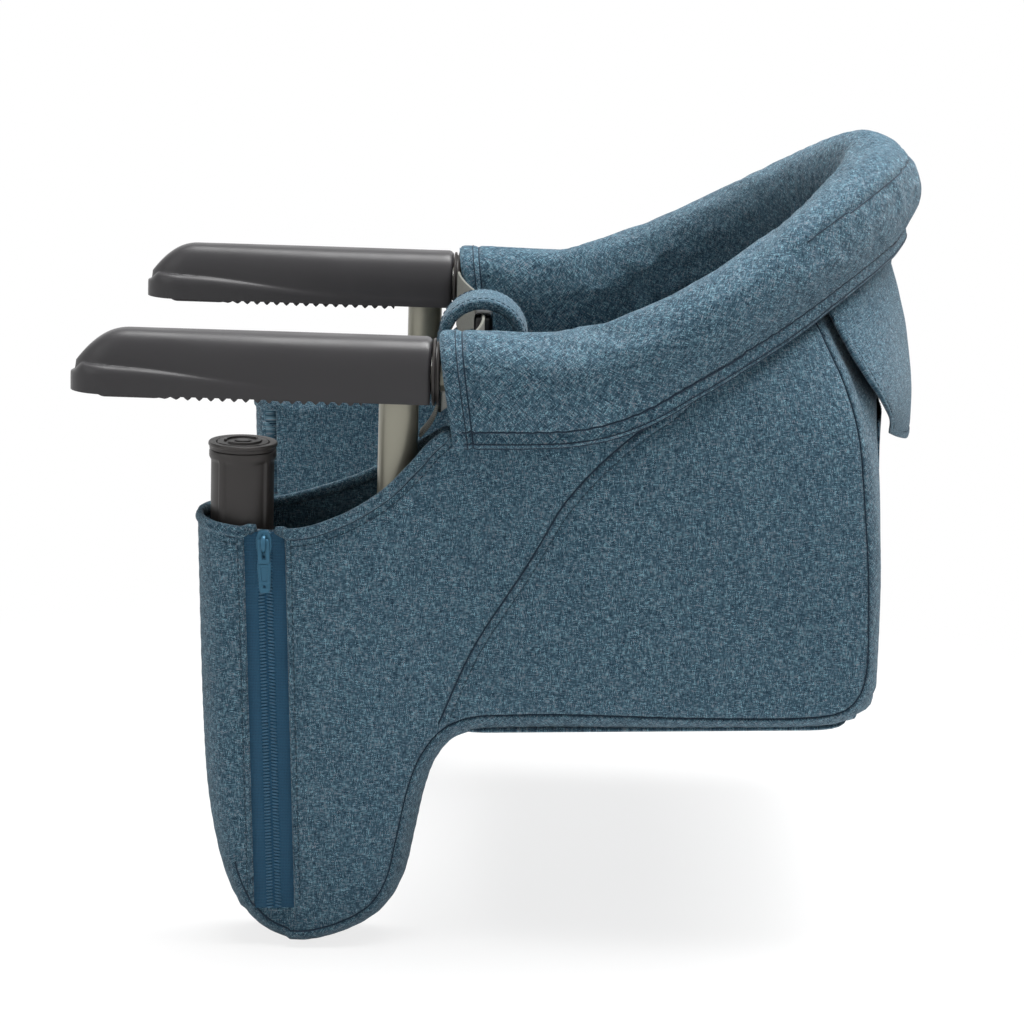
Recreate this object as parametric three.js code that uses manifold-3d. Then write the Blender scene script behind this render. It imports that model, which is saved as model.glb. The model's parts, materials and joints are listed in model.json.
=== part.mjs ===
// Hook-on table chair: a child's seat that hangs on the edge of a table.
// Millimetres. The origin is on the mid-plane at the top edge of the table: +X runs away from
// the table to the backrest, +Y to the child's right and +Z up. The left side is -Y.
import * as THREE from 'three';
import { mergeVertices } from 'three/addons/utils/BufferGeometryUtils.js';
import Module from 'manifold-3d';

const wasm = await Module();
wasm.setup();

// Driving dimensions

const GAP = 0.3; // clearance between neighbouring pieces
const TUBE_OD = 20;
const TUBE_WALL = 1.5;
const ARM_SPACING = 304; // between the two swivel axes

const ARM_REACH = 155; // nose of the arm from the table edge
const ARM_REAR = 26; // rear face of the arm cover
const ARM_WIDTH = 33;
const ARM_TOP = 34;
const ARM_HEM = 2.5; // lower edge of the cover
const NOSE_TIP = 13; // height of the nose's foremost point
const NOSE_RISE = 30; // length over which the top climbs from the nose
const NOSE_ROUND = 20; // length of the rounded nose in plan
const NOSE_CURVE = 2.2; // exponent of the climb
const NOSE_FLAT = 0.4; // cut off the nose's tip
const COVER_SQUARENESS = 3.2; // exponent of the cover's arched section
const COVER_WALL = 2.2;
const ARM_TUBE_FRONT = 115; // front end of the arm tube from the table edge
const BASE_THICKNESS = 1.8;
const BASE_SETBACK = 8; // nose of the base behind the cover's nose
const TUBE_SEAT = 0.4; // arm tube above the base
const PAD_THICKNESS = 4;
const PAD_WIDTH = 26;
const PAD_FRONT = 141;
const TOOTH_PITCH = 7;
const TOOTH_HEIGHT = 2.6;
const TOOTH_TIP = 1;
const TOOTH_COUNT = 19;
const SCREW_D = 3.5;
const SCREW_HEAD_D = 6.5;
const SCREW_HEAD_HEIGHT = 2;
const SCREW_LENGTH = 6;
const SCREW_INSET = 9; // screws from the plug and from the spigot inside the arm tube
const PLUG_LENGTH = 10;
const PLUG_FLANGE = 2;

const SHAFT_FRONT = 20; // the spigot reaches this far over the table
const SHAFT_REAR = 62; // and this far into the rail
const STOP_PIN_D = 5;
const STOP_PIN_X = 5; // stop pin from the table edge
const FOLD_LEFT = 83; // degrees of fold, hook swung inwards below the other one
const FOLD_RIGHT = 97; // degrees of fold, hook swung inwards above the other one
const STOP_PLAY = 3; // degrees left at each end of the stop slot
const RAIL_PIN_D = 4;
const RAIL_PIN_X = 46;
const RING_D = 34; // belt ring
const RING_LENGTH = 6.6;

const HOOK_REACH = 78; // between the hook's two legs
const HOOK_DEPTH = 267.5; // lowest point of the hook below the table top
const TABLE_MIN = 21; // thinnest table
const CLAMP_TRAVEL = 60;
const CLAMP_PLAY = 1.7; // rivet above the bush when the clamp is let down
const CLAMP_LEAD = 8; // travel of the clamp per turn
const CAP_D = 34.5;
const CAP_RIM = 3.5;
const CAP_TOP_DROP = 1; // rim of the cap below the pad's face
const CLAMP_D = 32.5;
const CLAMP_BORE = 26.4;
const CLAMP_LENGTH = 92;
const CAP_PLUG = 3;
const FLUTE_COUNT = 4;
const FLUTE_DEPTH = 0.8;
const FLUTE_MARGIN = 5; // plain band above and below the flutes
const CLAMP_PAD_D = 26;
const CLAMP_PAD_THICKNESS = 2.2;
const RIVET_D = 4;
const RIVET_HEAD_D = 8;
const RIVET_HEAD = 1;
const THREAD_LENGTH = 12.5;
const THREAD_DEPTH = 1.2;
const BUSH_PLUG = 15;

const CLOTH = 1.6; // wall of the leg pocket
const PANEL = 3; // padded side and back panels
const SLEEVE_THICKNESS = 37;
const SLEEVE_FRONT = 90; // front edge at the mouth from the table edge
const SLEEVE_DRAW = 9.2; // the front edge draws in by this much towards the bottom
const SLEEVE_CURVE = 1.5; // exponent of that
const SLEEVE_REAR = 33; // seam to the side panel behind the table edge
const SLEEVE_LOW_REAR = 22.8; // free rear edge below the seat
const SLEEVE_BOTTOM = 286; // lowest point below the table top
const SLEEVE_ROUND = 55; // height of the rounded bottom
const SLEEVE_FLAT = 2.75; // height cut off the round at its lowest
const SLEEVE_NOSE = 14; // depth of the rounded front edge
const MOUTH_LOW = 60; // mouth of the pocket below the table top
const MOUTH_REAR = 11; // its rear end below the table top
const MOUTH_FLAT = 50; // the mouth is level up to here, from the table edge
const MOUTH_CURVE = 1.9; // exponent of its climb
const ZIP_TOP_X = 55;
const ZIP_TOP = 64;
const ZIP_BOTTOM_X = 47;
const ZIP_BOTTOM = 262;
const ZIP_TAPE = 20;
const ZIP_TAPE_THICKNESS = 0.8;
const ZIP_COIL = 5;
const ZIP_COIL_HEIGHT = 1.4;
const SLIDER_LENGTH = 11;
const SLIDER_WIDTH = 10;
const SLIDER_ROOF = 1.6;
const PULL_LENGTH = 26;
const PULL_WIDTH = 7;
const PULL_THICKNESS = 1.8;
const PULL_PIN_R = 1;
const CHEEK_WIDTH = 1.2; // cheeks that hold the pull's pin

const RAMP_LEAD = 20.5; // the rail starts to climb this far before its round back
const RAIL_RISE = 90;
const RAIL_SOFT = 0.25; // share of the climb that eases in
const RING_CENTRE_X = 105.5; // centre of the rail's round back
const ROLL_FRONT_X = 36;
const ROLL_FRONT_D = 35;
const ROLL_BACK_D = 45;
const HEM_FRONT = 32; // hem of the roll below the swivel axis, at the front
const HEM_BACK = 27; // and below the rail at the back
const HEM_OUT = 7.5; // hem outside the rail's centre line
const HEM_SEAM = 1.8; // top edge of the panels below the hem
const HEM_TAPER = 1.6; // how fast the roll narrows to its hem

const SEAT_BACK_X = 257; // back panel at the seat
const SEAT_HALF_WIDTH = 159.5; // side panels at the seat
const SEAT_CORNER = 14;
const SEAT_FRONT_Z = -170; // seat's underside at the front seam
const SEAT_SLOPE = 0.043;
const PANEL_CURVE = 4; // exponent of the panels' lean towards the rail
const SEAT_SKIN = 2.5;
const BOARD_THICKNESS = 4;
const BOARD_FRONT = 45;
const BOARD_MARGIN = 6; // board inside the panels
const CUSHION_FRONT = 70;
const CUSHION_EDGE = 9; // height of the cushion's edge
const CUSHION_CROWN = 10; // and of its crown above that
const CUSHION_DRAW = 3; // sides drawn in between the corners

const POCKET_HALF_WIDTH = 105;
const POCKET_TOP = -10;
const POCKET_BOTTOM = -150;
const POCKET_BULGE = 7;
const FLAP_HALF_WIDTH = 105; // at its upper edge
const FLAP_LOW_HALF_WIDTH = 58; // at its lower edge
const FLAP_FLARE = 16.6; // lower edge of the flap away from the back, on the mid-plane
const FLAP_CORNER_FLARE = 6; // and at its corners
const FLAP_TOP = 0.18; // share of the flap that hangs close below the hem
const FLAP_CURVE = 2.2; // exponent of the flare
const FLAP_LOW = -36;
const FLAP_CORNER_LOW = -20;
const FLAP_THICKNESS = 2.4;
const FLAP_CLEARANCE = 3.4; // flap off the back panel under the hem

const LOOP_X = 48; // crotch strap's loop
const LOOP_Z = 8.5;
const LOOP_D = 46;
const STRAP_THICKNESS = 4.5;
const STRAP_WIDTH = 40;
const STRAP_FOOT_X = 58;
const BELT_WIDTH = 32;
const BELT_THICKNESS = 1.6;
const BUCKLE_LENGTH = 26;
const BUCKLE_HEIGHT = 29;
const BUCKLE_DEPTH = 10;
const BUCKLE_WALL = 2;
const TONGUE_LENGTH = 26;
const TONGUE_HEIGHT = 22;
const TONGUE_THICKNESS = 2.2;
const BUTTON_D = 10;
const BUTTON_PROUD = 2.4;

// Facets of round pieces

const TUBE_SIDES = 12;
const ROLL_SIDES = 16;
const TURNED_SIDES = 16;
const ROD_SIDES = 8;

// Values worked out from the dimensions

const TUBE_R = TUBE_OD / 2;
const TUBE_BORE = TUBE_R - TUBE_WALL;
const SHAFT_R = TUBE_BORE * Math.cos(Math.PI / TUBE_SIDES) - GAP;
const ARM_Y = ARM_SPACING / 2;
const HOOK_X = TUBE_R; // the hook's front leg touches the table edge
const CLAMP_X = HOOK_X - HOOK_REACH;
const CLAMP_R = CLAMP_D / 2;
const CLAMP_TOP = -TABLE_MIN - CAP_TOP_DROP - CAP_RIM; // top of the grip under the cap's rim
const PLUG_LOW = CLAMP_TOP - CAP_PLUG; // underside of the cap's plug
const RIVET_LOW = PLUG_LOW - GAP - RIVET_HEAD;
const BUSH_TOP = RIVET_LOW - CLAMP_TRAVEL - CLAMP_PLAY;
const HOOK_END = BUSH_TOP - THREAD_LENGTH; // top of the hook's clamp leg
const BASE_LOW = PAD_THICKNESS + GAP;
const AXIS_HEIGHT = BASE_LOW + BASE_THICKNESS + TUBE_SEAT + TUBE_R; // swivel axis above the table top
const SCREW_FRONT = ARM_TUBE_FRONT - PLUG_LENGTH - SCREW_INSET;
const SCREW_REAR = SHAFT_FRONT + SCREW_INSET;
const SLEEVE_HALF = SLEEVE_THICKNESS / 2;
const ROUND_Z = SLEEVE_ROUND - SLEEVE_BOTTOM; // where the pocket's bottom starts to round
const RAIL_FRONT = ARM_REAR + GAP;
const RING_R = ARM_Y; // plan radius of the rail's round back
const BACK_X = RING_CENTRE_X + RING_R;
const RAMP_X = RING_CENTRE_X - RAMP_LEAD;
const PANEL_FRONT = SLEEVE_REAR + GAP;

// Geometry helpers

const { PI, abs, asin, atan, atan2, cos, hypot, max, min, sign, sin, sqrt } = Math;
const point = (x, y, z) => new THREE.Vector3(x, y, z);
const range = (count) => Array.from({ length: count }, (_, i) => i);
const blend = (a, b, share) => a + (b - a) * share;
const ease = (share) => share * share * (3 - 2 * share);
const limit = (value) => min(1, max(0, value));

// One closed body from corner points and triangles, turned so that its faces point out
function closedBody(points, faces) {
  let volume = 0;
  for (let i = 0; i < faces.length; i += 3) {
    const [a, b, c] = [points[faces[i]], points[faces[i + 1]], points[faces[i + 2]]];
    volume += a.dot(point(0, 0, 0).crossVectors(b, c));
  }
  const geometry = new THREE.BufferGeometry().setFromPoints(points);
  geometry.setIndex(volume < 0 ? faces.slice().reverse() : faces);
  return geometry;
}

// Rings of points joined one to the next: capped at both ends, or looped back to the first
function loft(rings, looped = false) {
  const count = rings[0].length;
  const points = rings.flat();
  const faces = [];
  const bands = looped ? rings.length : rings.length - 1;
  for (let i = 0; i < bands; i += 1) {
    const here = i * count;
    const next = ((i + 1) % rings.length) * count;
    for (let j = 0; j < count; j += 1) {
      const k = (j + 1) % count;
      faces.push(here + j, here + k, next + k, here + j, next + k, next + j);
    }
  }
  if (!looped) {
    capRing(points, faces, 0, count, true);
    capRing(points, faces, (rings.length - 1) * count, count, false);
  }
  return closedBody(points, faces);
}

// A fan over one ring, from its middle
function capRing(points, faces, first, count, reversed) {
  const middle = point(0, 0, 0);
  for (let j = 0; j < count; j += 1) middle.add(points[first + j]);
  points.push(middle.divideScalar(count));
  for (let j = 0; j < count; j += 1) {
    const a = first + j;
    const b = first + ((j + 1) % count);
    faces.push(...(reversed ? [points.length - 1, b, a] : [points.length - 1, a, b]));
  }
}

// A circle in the plane of two directions
function circle(centre, across, up, radius, sides) {
  return range(sides).map((j) => {
    const angle = (2 * PI * j) / sides;
    return centre.clone().addScaledVector(across, radius * cos(angle)).addScaledVector(up, radius * sin(angle));
  });
}

// A round tube along a path; across gives the direction square to the path at each point
function pipe(path, across, outer, inner, sides = TUBE_SIDES) {
  const rings = (radius) => path.map((centre, i) => {
    const ahead = path[min(i + 1, path.length - 1)];
    const behind = path[max(i - 1, 0)];
    const along = ahead.clone().sub(behind).normalize();
    const sideways = across(along);
    const up = point(0, 0, 0).crossVectors(along, sideways);
    return circle(centre, sideways, up, radius, sides);
  });
  return inner > 0 ? loft([...rings(outer), ...rings(inner).reverse()], true) : loft(rings(outer));
}
const sideY = () => point(0, 1, 0);
const sideLevel = (along) => point(along.y, -along.x, 0).normalize();
const tubeX = (x0, x1, outer, inner = 0) =>
  pipe([point(x0, 0, AXIS_HEIGHT), point(x1, 0, AXIS_HEIGHT)], sideY, outer, inner);
const rodY = (x, z, radius, length) =>
  pipe([point(x, -length / 2, z), point(x, length / 2, z)], () => point(1, 0, 0), radius, 0, ROD_SIDES);
const rodZ = (x, z0, z1, radius, sides = ROD_SIDES) =>
  pipe([point(x, 0, z0), point(x, 0, z1)], () => point(1, 0, 0), radius, 0, sides);

// A body turned about a vertical axis, from [radius, height] pairs; looped for a ring
function turned(x, profile, looped, sides = TURNED_SIDES) {
  const rings = profile.map(([r, z]) => circle(point(x, 0, z), point(1, 0, 0), point(0, 1, 0), r, sides));
  return loft(rings, looped);
}

// A plane outline in X and Y with a thickness along Z
function plateZ(outline, z0, z1) {
  const shape = new THREE.Shape(outline.map(([x, y]) => new THREE.Vector2(x, y)));
  const geometry = new THREE.ExtrudeGeometry(shape, { depth: z1 - z0, bevelEnabled: false });
  return geometry.translate(0, 0, z0);
}

// A plane outline in X and Z with a width along Y
function plateY(outline, y0, y1) {
  const geometry = plateZ(outline, -y1, -y0);
  return geometry.rotateX(PI / 2);
}

// A grid of points given a thickness square to its surface
function slab(grid, thickness) {
  const rows = grid.length;
  const columns = grid[0].length;
  const normal = (i, j) => {
    const along = grid[i][min(j + 1, columns - 1)].clone().sub(grid[i][max(j - 1, 0)]);
    const up = grid[min(i + 1, rows - 1)][j].clone().sub(grid[max(i - 1, 0)][j]);
    return along.cross(up).normalize();
  };
  const skin = (offset) => grid.map((row, i) =>
    row.map((corner, j) => corner.clone().addScaledVector(normal(i, j), offset)));
  const front = skin(thickness / 2);
  const back = skin(-thickness / 2);
  const strips = front.map((row, i) => [...row, ...back[i].slice().reverse()]);
  return gridLoft(strips, columns);
}

// Rings made of two facing rows, whose end caps are strips between the rows
function gridLoft(rings, columns) {
  const count = 2 * columns;
  const points = rings.flat();
  const faces = [];
  for (let i = 0; i < rings.length - 1; i += 1) {
    for (let j = 0; j < count; j += 1) {
      const k = (j + 1) % count;
      const here = i * count;
      const next = here + count;
      faces.push(here + j, here + k, next + k, here + j, next + k, next + j);
    }
  }
  const last = (rings.length - 1) * count;
  for (let j = 0; j < columns - 1; j += 1) {
    const a = count - 1 - j;
    faces.push(j, a, j + 1, j + 1, a, a - 1);
    faces.push(last + j, last + j + 1, last + a, last + j + 1, last + a - 1, last + a);
  }
  return closedBody(points, faces);
}

function solidOf(geometry) {
  const bare = geometry.clone();
  bare.deleteAttribute('normal');
  bare.deleteAttribute('uv');
  const merged = mergeVertices(bare);
  return new wasm.Manifold(new wasm.Mesh({
    numProp: 3,
    vertProperties: merged.attributes.position.array,
    triVerts: new Uint32Array(merged.index.array),
  }));
}

function geometryOf(solid) {
  const mesh = solid.getMesh();
  const geometry = new THREE.BufferGeometry();
  geometry.setAttribute('position', new THREE.BufferAttribute(new Float32Array(mesh.vertProperties), 3));
  geometry.setIndex(Array.from(mesh.triVerts));
  return geometry;
}

const cut = (body, ...tools) =>
  geometryOf(tools.reduce((solid, tool) => solid.subtract(solidOf(tool)), solidOf(body)));
const join = (body, ...more) =>
  geometryOf(more.reduce((solid, other) => solid.add(solidOf(other)), solidOf(body)));

// Materials

const finish = (color, roughness, metalness = 0) => new THREE.MeshStandardMaterial({ color, roughness, metalness });
const CLOTH_BLUE = finish(0x4b7387, 0.95);
const CUSHION_BLUE = finish(0x43687b, 0.95);
const PLASTIC_GREY = finish(0x4a474a, 0.5);
const PLASTIC_DARK = finish(0x3f3a38, 0.55);
const TUBE_SILVER = finish(0xa3a294, 0.4, 0.7);
const STEEL = finish(0x9a9a98, 0.35, 0.9);
const RUBBER = finish(0x2c2b2c, 0.85);
const WEBBING = finish(0x8d9190, 0.9);
const ZIP_BLUE = finish(0x2a5f7c, 0.7);
const BOARD = finish(0x6b5a45, 0.8);

function add(group, name, geometry, material) {
  const mesh = new THREE.Mesh(geometry, material);
  mesh.name = name;
  group.add(mesh);
  return mesh;
}

// Arm: tube, cover, base and pad. Its own Y is zero on the arm's centre line.

const coverHalf = (x) => {
  const share = limit((x + ARM_REACH) / NOSE_ROUND);
  return (ARM_WIDTH / 2) * sqrt(1 - (1 - share) ** 2);
};
const coverTop = (x) => {
  const share = limit((x + ARM_REACH) / NOSE_RISE);
  return blend(NOSE_TIP, ARM_TOP, 1 - (1 - share) ** NOSE_CURVE);
};

// An arched section of the cover; sunk moves its foot below the hem
function coverSection(x, inset, sunk) {
  const half = coverHalf(x) - inset;
  const height = coverTop(x) - inset - ARM_HEM;
  const steps = 10;
  const power = 2 / COVER_SQUARENESS;
  const arch = range(steps + 1).map((i) => {
    const angle = (PI * i) / steps;
    const side = sign(cos(angle)) * abs(cos(angle)) ** power;
    return point(x, half * side, ARM_HEM + height * abs(sin(angle)) ** power);
  });
  return [point(x, half, ARM_HEM - sunk), ...arch.slice(1, -1), point(x, -half, ARM_HEM - sunk)];
}

function armCover() {
  const first = -ARM_REACH + NOSE_FLAT;
  const noseStops = [0, 0.02, 0.06, 0.14, 0.26, 0.42, 0.65, 1];
  const outerStops = [...noseStops.map((share) => first + share * NOSE_RISE), ARM_REAR];
  const innerFirst = first + COVER_WALL;
  const innerStops = noseStops.slice(1).map((share) => innerFirst + share * NOSE_RISE);
  innerStops.push(ARM_REAR - COVER_WALL);
  const outer = loft(outerStops.map((x) => coverSection(x, 0, 0)));
  const inner = loft(innerStops.map((x) => coverSection(x, COVER_WALL, COVER_WALL)));
  const rearHole = tubeX(ARM_REAR - 2 * COVER_WALL, ARM_REAR + COVER_WALL, TUBE_R + GAP);
  return cut(outer, inner, rearHole);
}

function armTube() {
  const tube = tubeX(-ARM_TUBE_FRONT, ARM_REAR - 2 * GAP, TUBE_R, TUBE_BORE);
  const screwHoles = [SCREW_FRONT, SCREW_REAR].map((x) => rodZ(-x, 0, AXIS_HEIGHT, SCREW_D / 2 + GAP));
  return cut(tube, ...screwHoles);
}

// The slots in which the stop pin runs when the arm folds, on both sides of the tube
function stopSlots(foldAngle) {
  const play = (STOP_PLAY * PI) / 180 + atan((STOP_PIN_D / 2 + GAP) / TUBE_BORE);
  const sweep = (foldAngle * PI) / 180;
  const steps = 8;
  const angles = range(steps + 1).map((i) => blend(-play, sweep + play, i / steps));
  const half = STOP_PIN_D / 2 + GAP;
  return [0, PI].map((turn) => {
    const outer = angles.map((angle) => [angle + turn, TUBE_R + TUBE_WALL]);
    const inner = angles.map((angle) => [angle + turn, TUBE_BORE - TUBE_WALL]).reverse();
    const rings = [-half, half].map((along) => [...outer, ...inner].map(([angle, radius]) =>
      point(-STOP_PIN_X + along, radius * cos(angle), AXIS_HEIGHT + radius * sin(angle))));
    return gridLoft(rings, steps + 1);
  });
}

function armBase() {
  const half = ARM_WIDTH / 2 - COVER_WALL - GAP;
  const front = -ARM_REACH + BASE_SETBACK;
  const rear = ARM_REAR - COVER_WALL - GAP;
  const steps = 10;
  const nose = range(steps + 1).map((i) => {
    const angle = PI / 2 + (PI * i) / steps;
    return [front + NOSE_ROUND * (1 + cos(angle)), half * sin(angle)];
  });
  const plate = plateZ([[rear, half], ...nose, [rear, -half]], BASE_LOW, BASE_LOW + BASE_THICKNESS);
  const holes = [SCREW_FRONT, SCREW_REAR].map((x) => rodZ(-x, 0, AXIS_HEIGHT, SCREW_D / 2 + GAP));
  return cut(plate, ...holes, rodZ(HOOK_X, 0, AXIS_HEIGHT, TUBE_R + GAP, TUBE_SIDES));
}

function gripPad() {
  const flank = (TOOTH_PITCH - TOOTH_TIP) / 2;
  const teeth = range(TOOTH_COUNT).flatMap((i) => {
    const start = -PAD_FRONT + i * TOOTH_PITCH;
    return [[start, TOOTH_HEIGHT], [start + flank, 0], [start + flank + TOOTH_TIP, 0]];
  });
  const rear = -PAD_FRONT + TOOTH_COUNT * TOOTH_PITCH;
  const outline = [...teeth, [rear, TOOTH_HEIGHT], [rear, PAD_THICKNESS], [-PAD_FRONT, PAD_THICKNESS]];
  const strip = plateY(outline, -PAD_WIDTH / 2, PAD_WIDTH / 2);
  const access = SCREW_HEAD_D / 2 + GAP;
  return cut(strip, ...[SCREW_FRONT, SCREW_REAR].map((x) =>
    rodZ(-x, -TOOTH_HEIGHT, 2 * PAD_THICKNESS, access)));
}

const coverScrew = (x) => turned(-x, [
  [SCREW_HEAD_D / 2 - GAP, BASE_LOW - SCREW_HEAD_HEIGHT],
  [SCREW_HEAD_D / 2, BASE_LOW - SCREW_HEAD_HEIGHT / 2],
  [SCREW_HEAD_D / 2, BASE_LOW],
  [SCREW_D / 2, BASE_LOW],
  [SCREW_D / 2, BASE_LOW + SCREW_LENGTH],
], false, ROD_SIDES);

function armPlug() {
  const front = -ARM_TUBE_FRONT;
  const flange = tubeX(front - PLUG_FLANGE, front - GAP, TUBE_R);
  const stem = tubeX(front - PLUG_FLANGE, front + PLUG_LENGTH, SHAFT_R);
  return join(flange, stem);
}

// Hook: a J of tube from the arm down, round and up to the clamp

function hookTube() {
  const radius = HOOK_REACH / 2;
  const bendZ = -HOOK_DEPTH + TUBE_R + radius;
  const steps = 9;
  const bend = range(steps + 1).map((i) => {
    const angle = (PI * i) / steps;
    return point(HOOK_X - radius + radius * cos(angle), 0, bendZ - radius * sin(angle));
  });
  const path = [point(HOOK_X, 0, AXIS_HEIGHT - TUBE_R / 2), ...bend, point(CLAMP_X, 0, HOOK_END)];
  const tube = pipe(path, sideY, TUBE_R, TUBE_BORE);
  return cut(tube, tubeX(HOOK_X - TUBE_OD, HOOK_X + TUBE_OD, TUBE_R + GAP));
}

// Swivel: the spigot that is pinned in the rail and turns in the arm tube

const pivotShaft = () => cut(
  tubeX(-SHAFT_FRONT, SHAFT_REAR, SHAFT_R),
  rodY(-STOP_PIN_X, AXIS_HEIGHT, STOP_PIN_D / 2 + GAP, 2 * TUBE_OD),
  rodY(RAIL_PIN_X, AXIS_HEIGHT, RAIL_PIN_D / 2 + GAP, 2 * TUBE_OD),
);
const stopPin = () => rodY(-STOP_PIN_X, AXIS_HEIGHT, STOP_PIN_D / 2, TUBE_OD);
const railPin = () => rodY(RAIL_PIN_X, AXIS_HEIGHT, RAIL_PIN_D / 2, TUBE_OD);

function beltRing() {
  const bore = TUBE_R + GAP;
  const outer = RING_D / 2;
  const front = RAIL_FRONT + GAP;
  const edge = RING_LENGTH / 4;
  const profile = [
    [bore, front + edge], [bore + edge, front], [outer - edge, front], [outer, front + edge],
    [outer, front + RING_LENGTH - edge], [outer - edge, front + RING_LENGTH],
    [bore + edge, front + RING_LENGTH], [bore, front + RING_LENGTH - edge],
  ];
  const rings = profile.map(([r, x]) =>
    circle(point(x, 0, AXIS_HEIGHT), point(0, 1, 0), point(0, 0, 1), r, TUBE_SIDES));
  return loft(rings, true);
}

// Clamp: a threaded bush on the hook's end, a fluted grip, its cap and a pad that doesn't turn

// The thread turns to the right on both sides: hand is -1 where the bush is mirrored
function clampScrew(hand) {
  const steps = 8;
  const sides = TUBE_SIDES;
  const crest = (CLAMP_BORE / 2) * cos(PI / TURNED_SIDES) - GAP;
  const thread = range(steps + 1).map((i) => {
    const z = blend(HOOK_END + GAP, BUSH_TOP, i / steps);
    const turn = (hand * 2 * PI * z) / CLAMP_LEAD;
    return range(sides).map((j) => {
      const angle = (2 * PI * j) / sides;
      const radius = crest - (THREAD_DEPTH / 2) * (1 - cos(angle - turn));
      return point(CLAMP_X + radius * cos(angle), radius * sin(angle), z);
    });
  });
  const plug = rodZ(CLAMP_X, HOOK_END - BUSH_PLUG, HOOK_END + THREAD_LENGTH / 2, SHAFT_R, sides);
  return join(loft(thread), plug);
}

function clampSleeve() {
  const perFlute = 4;
  const sides = FLUTE_COUNT * perFlute;
  const low = CLAMP_TOP - CLAMP_LENGTH;
  const ring = (z, depth, radius = CLAMP_R) => range(sides).map((j) => {
    const angle = (2 * PI * (j + 0.5)) / sides;
    const r = radius - (j % perFlute === 1 ? 0 : depth);
    return point(CLAMP_X + r * cos(angle), r * sin(angle), z);
  });
  const high = CLAMP_TOP - GAP;
  const outer = [
    ring(low, 0), ring(low + FLUTE_MARGIN, 0), ring(low + FLUTE_MARGIN + FLUTE_DEPTH, FLUTE_DEPTH),
    ring(high - FLUTE_MARGIN - FLUTE_DEPTH, FLUTE_DEPTH), ring(high - FLUTE_MARGIN, 0), ring(high, 0),
  ];
  return loft([...outer, ring(high, 0, CLAMP_BORE / 2), ring(low, 0, CLAMP_BORE / 2)], true);
}

const PAD_FACE = -TABLE_MIN;
const PAD_BACK = PAD_FACE - CLAMP_PAD_THICKNESS;
const CAP_FACE = PAD_FACE - CAP_TOP_DROP;

const clampCap = () => turned(CLAMP_X, [
  [RIVET_D / 2 + GAP, PAD_BACK - GAP],
  [CLAMP_PAD_D / 2 + GAP, PAD_BACK - GAP],
  [CLAMP_PAD_D / 2 + GAP, CAP_FACE],
  [CAP_D / 2 - CAP_TOP_DROP, CAP_FACE],
  [CAP_D / 2, CAP_FACE - CAP_TOP_DROP],
  [CAP_D / 2, CLAMP_TOP],
  [CLAMP_BORE / 2 - GAP, CLAMP_TOP],
  [CLAMP_BORE / 2 - GAP, PLUG_LOW],
  [RIVET_D / 2 + GAP, PLUG_LOW],
], true);

const clampPad = () => turned(CLAMP_X, [
  [RIVET_D / 2 + GAP, PAD_BACK],
  [CLAMP_PAD_D / 2, PAD_BACK],
  [CLAMP_PAD_D / 2, PAD_FACE],
  [RIVET_HEAD_D / 2 + GAP, PAD_FACE],
  [RIVET_HEAD_D / 2 + GAP, PAD_FACE - RIVET_HEAD - GAP],
  [RIVET_D / 2 + GAP, PAD_FACE - RIVET_HEAD - GAP],
], true);

const padRivet = () => turned(CLAMP_X, [
  [RIVET_HEAD_D / 2, PLUG_LOW - GAP - RIVET_HEAD],
  [RIVET_HEAD_D / 2, PLUG_LOW - GAP],
  [RIVET_D / 2, PLUG_LOW - GAP],
  [RIVET_D / 2, PAD_FACE - RIVET_HEAD],
  [RIVET_HEAD_D / 2, PAD_FACE - RIVET_HEAD],
  [RIVET_HEAD_D / 2, PAD_FACE - GAP],
], false);

// Leg pocket: cloth round the hook, sewn to the side panel behind it

const seamOut = SEAT_HALF_WIDTH - ARM_Y; // side panel outside the arm's centre line
const seatLow = (x) => SEAT_FRONT_Z + SEAT_SLOPE * (x - SLEEVE_REAR);

// Level section of the pocket at one height, drawn in by inset
function sleeveSection(z, inset) {
  const fall = limit((-MOUTH_LOW - z) / (-MOUTH_LOW - ROUND_Z));
  const turnIn = ease(limit((SEAT_FRONT_Z - z) / SLEEVE_THICKNESS)); // from the seam to the free edge
  const depth = limit((ROUND_Z - z) / SLEEVE_ROUND);
  const front = -SLEEVE_FRONT + SLEEVE_DRAW * fall ** SLEEVE_CURVE;
  const rear = blend(SLEEVE_REAR, SLEEVE_LOW_REAR, turnIn);
  const middle = (front + rear) / 2;
  const halfLength = ((rear - front) / 2) * sqrt(1 - depth ** 2) - inset;
  const half = SLEEVE_HALF * sqrt(1 - depth ** 4) - inset;
  const tailLength = min(halfLength, blend(2 * SLEEVE_NOSE, SLEEVE_NOSE, turnIn));
  const noseLength = min(halfLength, SLEEVE_NOSE);
  const shift = seamOut * (1 - turnIn);
  const steps = 5;
  const nose = range(steps + 1).map((i) => {
    const angle = PI / 2 + (PI * i) / steps;
    return point(middle - halfLength + noseLength * (1 + cos(angle)), half * sin(angle), z);
  });
  const tail = range(steps + 1).map((i) => {
    const angle = -PI / 2 + (PI * i) / steps;
    const out = cos(angle);
    return point(middle + halfLength - tailLength * (1 - out), half * sin(angle) + shift * out ** 2, z);
  });
  return [...nose, ...tail];
}

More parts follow.
